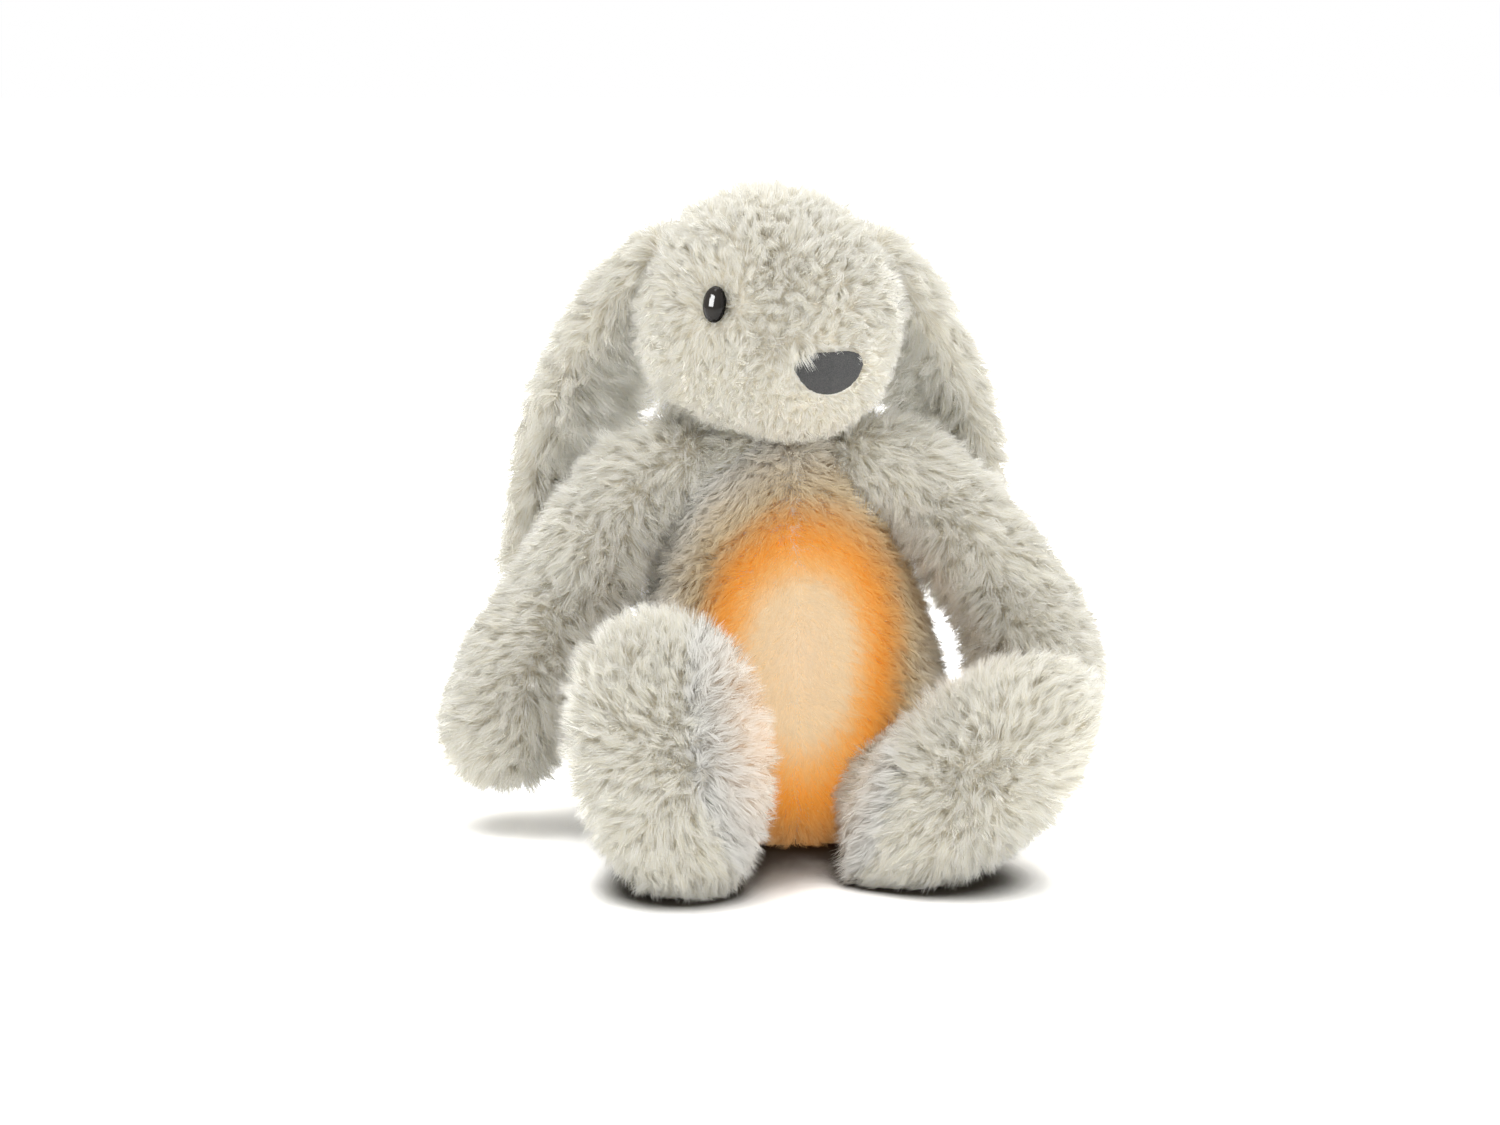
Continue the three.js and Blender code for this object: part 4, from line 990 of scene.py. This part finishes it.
# The glow on the belly, round the middle of the light unit: reach is 1 at the outer edge of the amber ring
glow_middle = middle_of("diffuser")
GLOW_HALF_WIDTH = 0.0365
GLOW_RISE = 0.054
GLOW_FALL = 0.076
GLOW_ASIDE = 0.0014
GLOW_EXTENT = 1.5
GLOW_FACING = 0.1
SPILL_START = 0.4
SPILL_END = 1.2


def glow_reach(places):
    across = (places[:, 0] - glow_middle.x - GLOW_ASIDE) / GLOW_HALF_WIDTH
    height = places[:, 2] - glow_middle.z
    upright = height / np.where(height > 0, GLOW_RISE, GLOW_FALL)
    return np.sqrt(across ** 2 + upright ** 2)


def glow_level(roots):
    level = np.clip(1 - glow_reach(roots.places) / GLOW_EXTENT, 0, 1)
    return np.where(roots.normals[:, 1] < GLOW_FACING, level, 0)


def spill_level(roots):
    """How much of the glow falls on the feet beside it, most on the pile nearest to it."""
    return np.clip((SPILL_END - glow_reach(roots.places)) / (SPILL_END - SPILL_START), 0, 1) ** 2


# The pile of every form, each with a seed of its own
HEAD_SEED = 11
TORSO_SEED = 12
FLAP_SEED = 13
TAIL_SEED = 14
EAR_SEED = 20
ARM_SEED = 30
LEG_SEED = 40
FOOT_SEED = 50

grow_pile("head_plush", HEAD_SEED, comb_head, length_head, HEAD_TUFTS, HEAD_TILT)
grow_pile("torso_plush", TORSO_SEED, comb_torso, length_torso, lit=glow_level, lit_material=lit_pile)
grow_pile("battery_flap", FLAP_SEED, comb_down, even_length(PILE_MIDDLE))
grow_pile("tail", TAIL_SEED, comb_down, even_length(PILE_LONG))
for number, name in enumerate(("right", "left")):
    ear, arm, leg, foot = (form + "_" + name for form in ("ear", "arm", "leg", "foot"))
    extra = EAR_PILE_EXTRA if name == "right" else 0
    grow_pile(ear, EAR_SEED + number, comb_ear(name), length_ear(name, extra), EAR_TUFTS, EAR_TILT)
    arm_length = length_limb(name, *ARM_PILE)
    grow_pile(arm, ARM_SEED + number, comb_limb(name, *ARM_COMB), arm_length, LIMB_TUFTS, ARM_TILT)
    grow_pile(leg, LEG_SEED + number, comb_limb(name, *LEG_COMB), even_length(PILE_MIDDLE))
    grow_pile(
        foot, FOOT_SEED + number, comb_foot(foot), even_length(PILE_LONG), LIMB_TUFTS, FOOT_TILT,
        spill_level, spill_pile,
    )


# Eyes: smooth oval domes in place of the faceted ones
EYE_SMOOTHING = 3


def eye_dome(node):
    low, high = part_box(node)
    mesh = bpy.data.meshes.new(node + "_dome")
    shape = bmesh.new()
    shape.from_mesh(frame["nodes"][node].data)
    bmesh.ops.remove_doubles(shape, verts=shape.verts, dist=WELD)
    shape.to_mesh(mesh)
    shape.free()
    piece = add_piece(node + "_dome", mesh, eye_black, body_of_node[node])
    smooth = piece.modifiers.new("smooth", "SUBSURF")
    smooth.levels = EYE_SMOOTHING
    smooth.render_levels = EYE_SMOOTHING
    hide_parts(node)
    return piece


eye_domes = [eye_dome(node) for node in ("eye_right", "eye_left")]

soft_piece("nose_felt_patch", ("nose_patch",), nose_felt, voxel=0.0006, rounds=3)
soft_piece("filling", ("torso_filling",), filling_white, voxel=0.003, rounds=4)
soft_piece("cushion", ("pocket_cushion",), filling_white, voxel=0.002, rounds=3)
soft_piece("seat_pellets", ("pellet_bag",), cotton, voxel=0.002, rounds=3)
soft_piece("pouch", ("light_pouch",), cotton, voxel=0.0008, rounds=1)
for name, node in (("flap_hook_strip", "hook_strip"), ("window_loop_strip", "loop_strip")):
    soft_piece(name, (node,), hook_and_loop, voxel=0.0006, rounds=1)


# Hard nodes keep their meshes and get their finishes
slot_of_node = {}
for part in frame["record"]["subparts"]:
    slot_of_node[part.get("node") or part["name"]] = part.get("material_slot") or part.get("material")
for name, thing in frame["nodes"].items():
    finish = NODE_FINISHES.get(slot_of_node.get(name))
    if thing.hide_render or finish is None:
        continue
    for place in thing.material_slots:
        place.material = finish


# Floor, lights and camera
FLOOR_HALF = 6.0
FLOOR_COLOUR = (0.86, 0.86, 0.86, 1.0)
FLOOR_SEEN_COLOUR = (3.0, 3.0, 3.0)
# Painted shadow on the floor: seen from the camera, its colour runs from the dark shadow colour, where
# ambient occlusion finds the toy close by, to white further off
FLOOR_PAINTED_SHADOW_COLOUR = (0.05, 0.043, 0.035)
FLOOR_PAINTED_SHADOW_REACH = 0.055
FLOOR_PAINTED_SHADOW_START = 0.36
FLOOR_PAINTED_SHADOW_END = 0.88
FLOOR_FADE_START = 0.3
FLOOR_FADE_END = 0.7
WORLD_LIGHT = 0.69
EYE_LIGHT_PLACE = (-0.70, -0.62, 0.62)
EYE_LIGHT_WIDTH = 0.55
EYE_LIGHT_HEIGHT = 0.6
EYE_LIGHT_POWER = 110.0


def seen_directly(tree):
    """1 for rays from the camera, from gloss and through glass, 0 for the rest."""
    path = tree.nodes.new("ShaderNodeLightPath")
    total = path.outputs["Is Camera Ray"]
    for name in ("Is Glossy Ray", "Is Transmission Ray"):
        add = tree.nodes.new("ShaderNodeMath")
        add.operation = "MAXIMUM"
        tree.links.new(total, add.inputs[0])
        tree.links.new(path.outputs[name], add.inputs[1])
        total = add.outputs["Value"]
    return total


def make_floor():
    shape = bmesh.new()
    bmesh.ops.create_grid(shape, x_segments=1, y_segments=1, size=FLOOR_HALF)
    mesh = bpy.data.meshes.new("floor")
    shape.to_mesh(mesh)
    shape.free()
    material, tree, shader, output = new_material("floor")
    tree.nodes.remove(shader)
    matte = tree.nodes.new("ShaderNodeBsdfDiffuse")
    # The painted contact shadow, from ambient occlusion
    painted_shadow_ao = add_node(tree, "AmbientOcclusion", Distance=FLOOR_PAINTED_SHADOW_REACH)
    stops = ((FLOOR_PAINTED_SHADOW_START, FLOOR_PAINTED_SHADOW_COLOUR), (FLOOR_PAINTED_SHADOW_END, FLOOR_SEEN_COLOUR))
    seen_colour_with_shadow = colour_ramp(tree, painted_shadow_ao.outputs["AO"], stops)
    colour = mixed_colour(tree, seen_directly(tree), FLOOR_COLOUR, seen_colour_with_shadow)
    tree.links.new(colour, matte.inputs["Color"])
    shine = tree.nodes.new("ShaderNodeEmission")
    both = tree.nodes.new("ShaderNodeAddShader")
    tree.links.new(matte.outputs["BSDF"], both.inputs[0])
    tree.links.new(shine.outputs["Emission"], both.inputs[1])
    tree.links.new(both.outputs["Shader"], output.inputs["Surface"])
    place = tree.nodes.new("ShaderNodeTexCoord")
    reach = tree.nodes.new("ShaderNodeVectorMath")
    reach.operation = "LENGTH"
    tree.links.new(place.outputs["Object"], reach.inputs[0])
    fade = add_node(tree, "MapRange", From_Min=FLOOR_FADE_START, From_Max=FLOOR_FADE_END)
    tree.links.new(reach.outputs["Value"], fade.inputs["Value"])
    strength = tree.nodes.new("ShaderNodeMath")
    strength.operation = "MULTIPLY"
    tree.links.new(seen_directly(tree), strength.inputs[0])
    tree.links.new(fade.outputs["Result"], strength.inputs[1])
    tree.links.new(strength.outputs["Value"], shine.inputs["Strength"])
    mesh.materials.append(material)
    floor = bpy.data.objects.new("floor", mesh)
    collection.objects.link(floor)


def make_world():
    world = bpy.data.worlds.new("studio")
    bpy.context.scene.world = world
    world.use_nodes = True
    tree = world.node_tree
    background = tree.nodes["Background"]
    background.inputs["Color"].default_value = WHITE
    backdrop = add_node(tree, "Background", Strength=FULL)
    backdrop.inputs["Color"].default_value = WHITE
    background.inputs["Strength"].default_value = WORLD_LIGHT
    mix = tree.nodes.new("ShaderNodeMixShader")
    tree.links.new(seen_directly(tree), mix.inputs["Fac"])
    tree.links.new(background.outputs["Background"], mix.inputs[1])
    tree.links.new(backdrop.outputs["Background"], mix.inputs[2])
    tree.links.new(mix.outputs["Shader"], tree.nodes["World Output"].inputs["Surface"])


def soft_light(name, place, width, height, power):
    lamp = bpy.data.lights.new(name, "AREA")
    lamp.shape = "RECTANGLE"
    lamp.size = width
    lamp.size_y = height
    lamp.energy = power
    light = bpy.data.objects.new(name, lamp)
    light.location = place
    light.rotation_mode = "QUATERNION"
    aim = Vector((seat.x, seat.y, CAMERA_TARGET.z))
    light.rotation_quaternion = (aim - light.location).to_track_quat("-Z", "Y")
    collection.objects.link(light)
    return light


def eye_light():
    """A tall window that shows in the eyes alone, as the highlight of the photograph does."""
    light = soft_light(
        "eye_window", EYE_LIGHT_PLACE, EYE_LIGHT_WIDTH, EYE_LIGHT_HEIGHT, EYE_LIGHT_POWER,
    )
    eyes = bpy.data.collections.new("eyes")
    for dome in eye_domes:
        eyes.objects.link(dome)
    light.light_linking.receiver_collection = eyes


def make_camera():
    camera = bpy.data.objects.new("camera", bpy.data.cameras.new("camera"))
    camera.data.lens = CAMERA_LENS
    camera.data.sensor_width = CAMERA_SENSOR
    camera.data.sensor_fit = "HORIZONTAL"
    target = CAMERA_TARGET + seat
    back = Vector((0, -math.cos(CAMERA_ELEVATION), math.sin(CAMERA_ELEVATION)))
    camera.location = target + back * CAMERA_DISTANCE
    camera.rotation_mode = "QUATERNION"
    camera.rotation_quaternion = (-back).to_track_quat("-Z", "Y")
    collection.objects.link(camera)
    bpy.context.scene.camera = camera


make_floor()
make_world()
soft_light("key", place=(-0.45, -0.3, 1.85), width=0.5, height=0.5, power=9.5)
soft_light("fill", place=(1.25, -0.95, 0.9), width=1.4, height=1.4, power=6.5)
soft_light("rear", place=(0.0, 0.6, 1.7), width=1.0, height=1.0, power=12.5)
eye_light()
make_camera()
bpy.context.scene.view_settings.view_transform = "Standard"
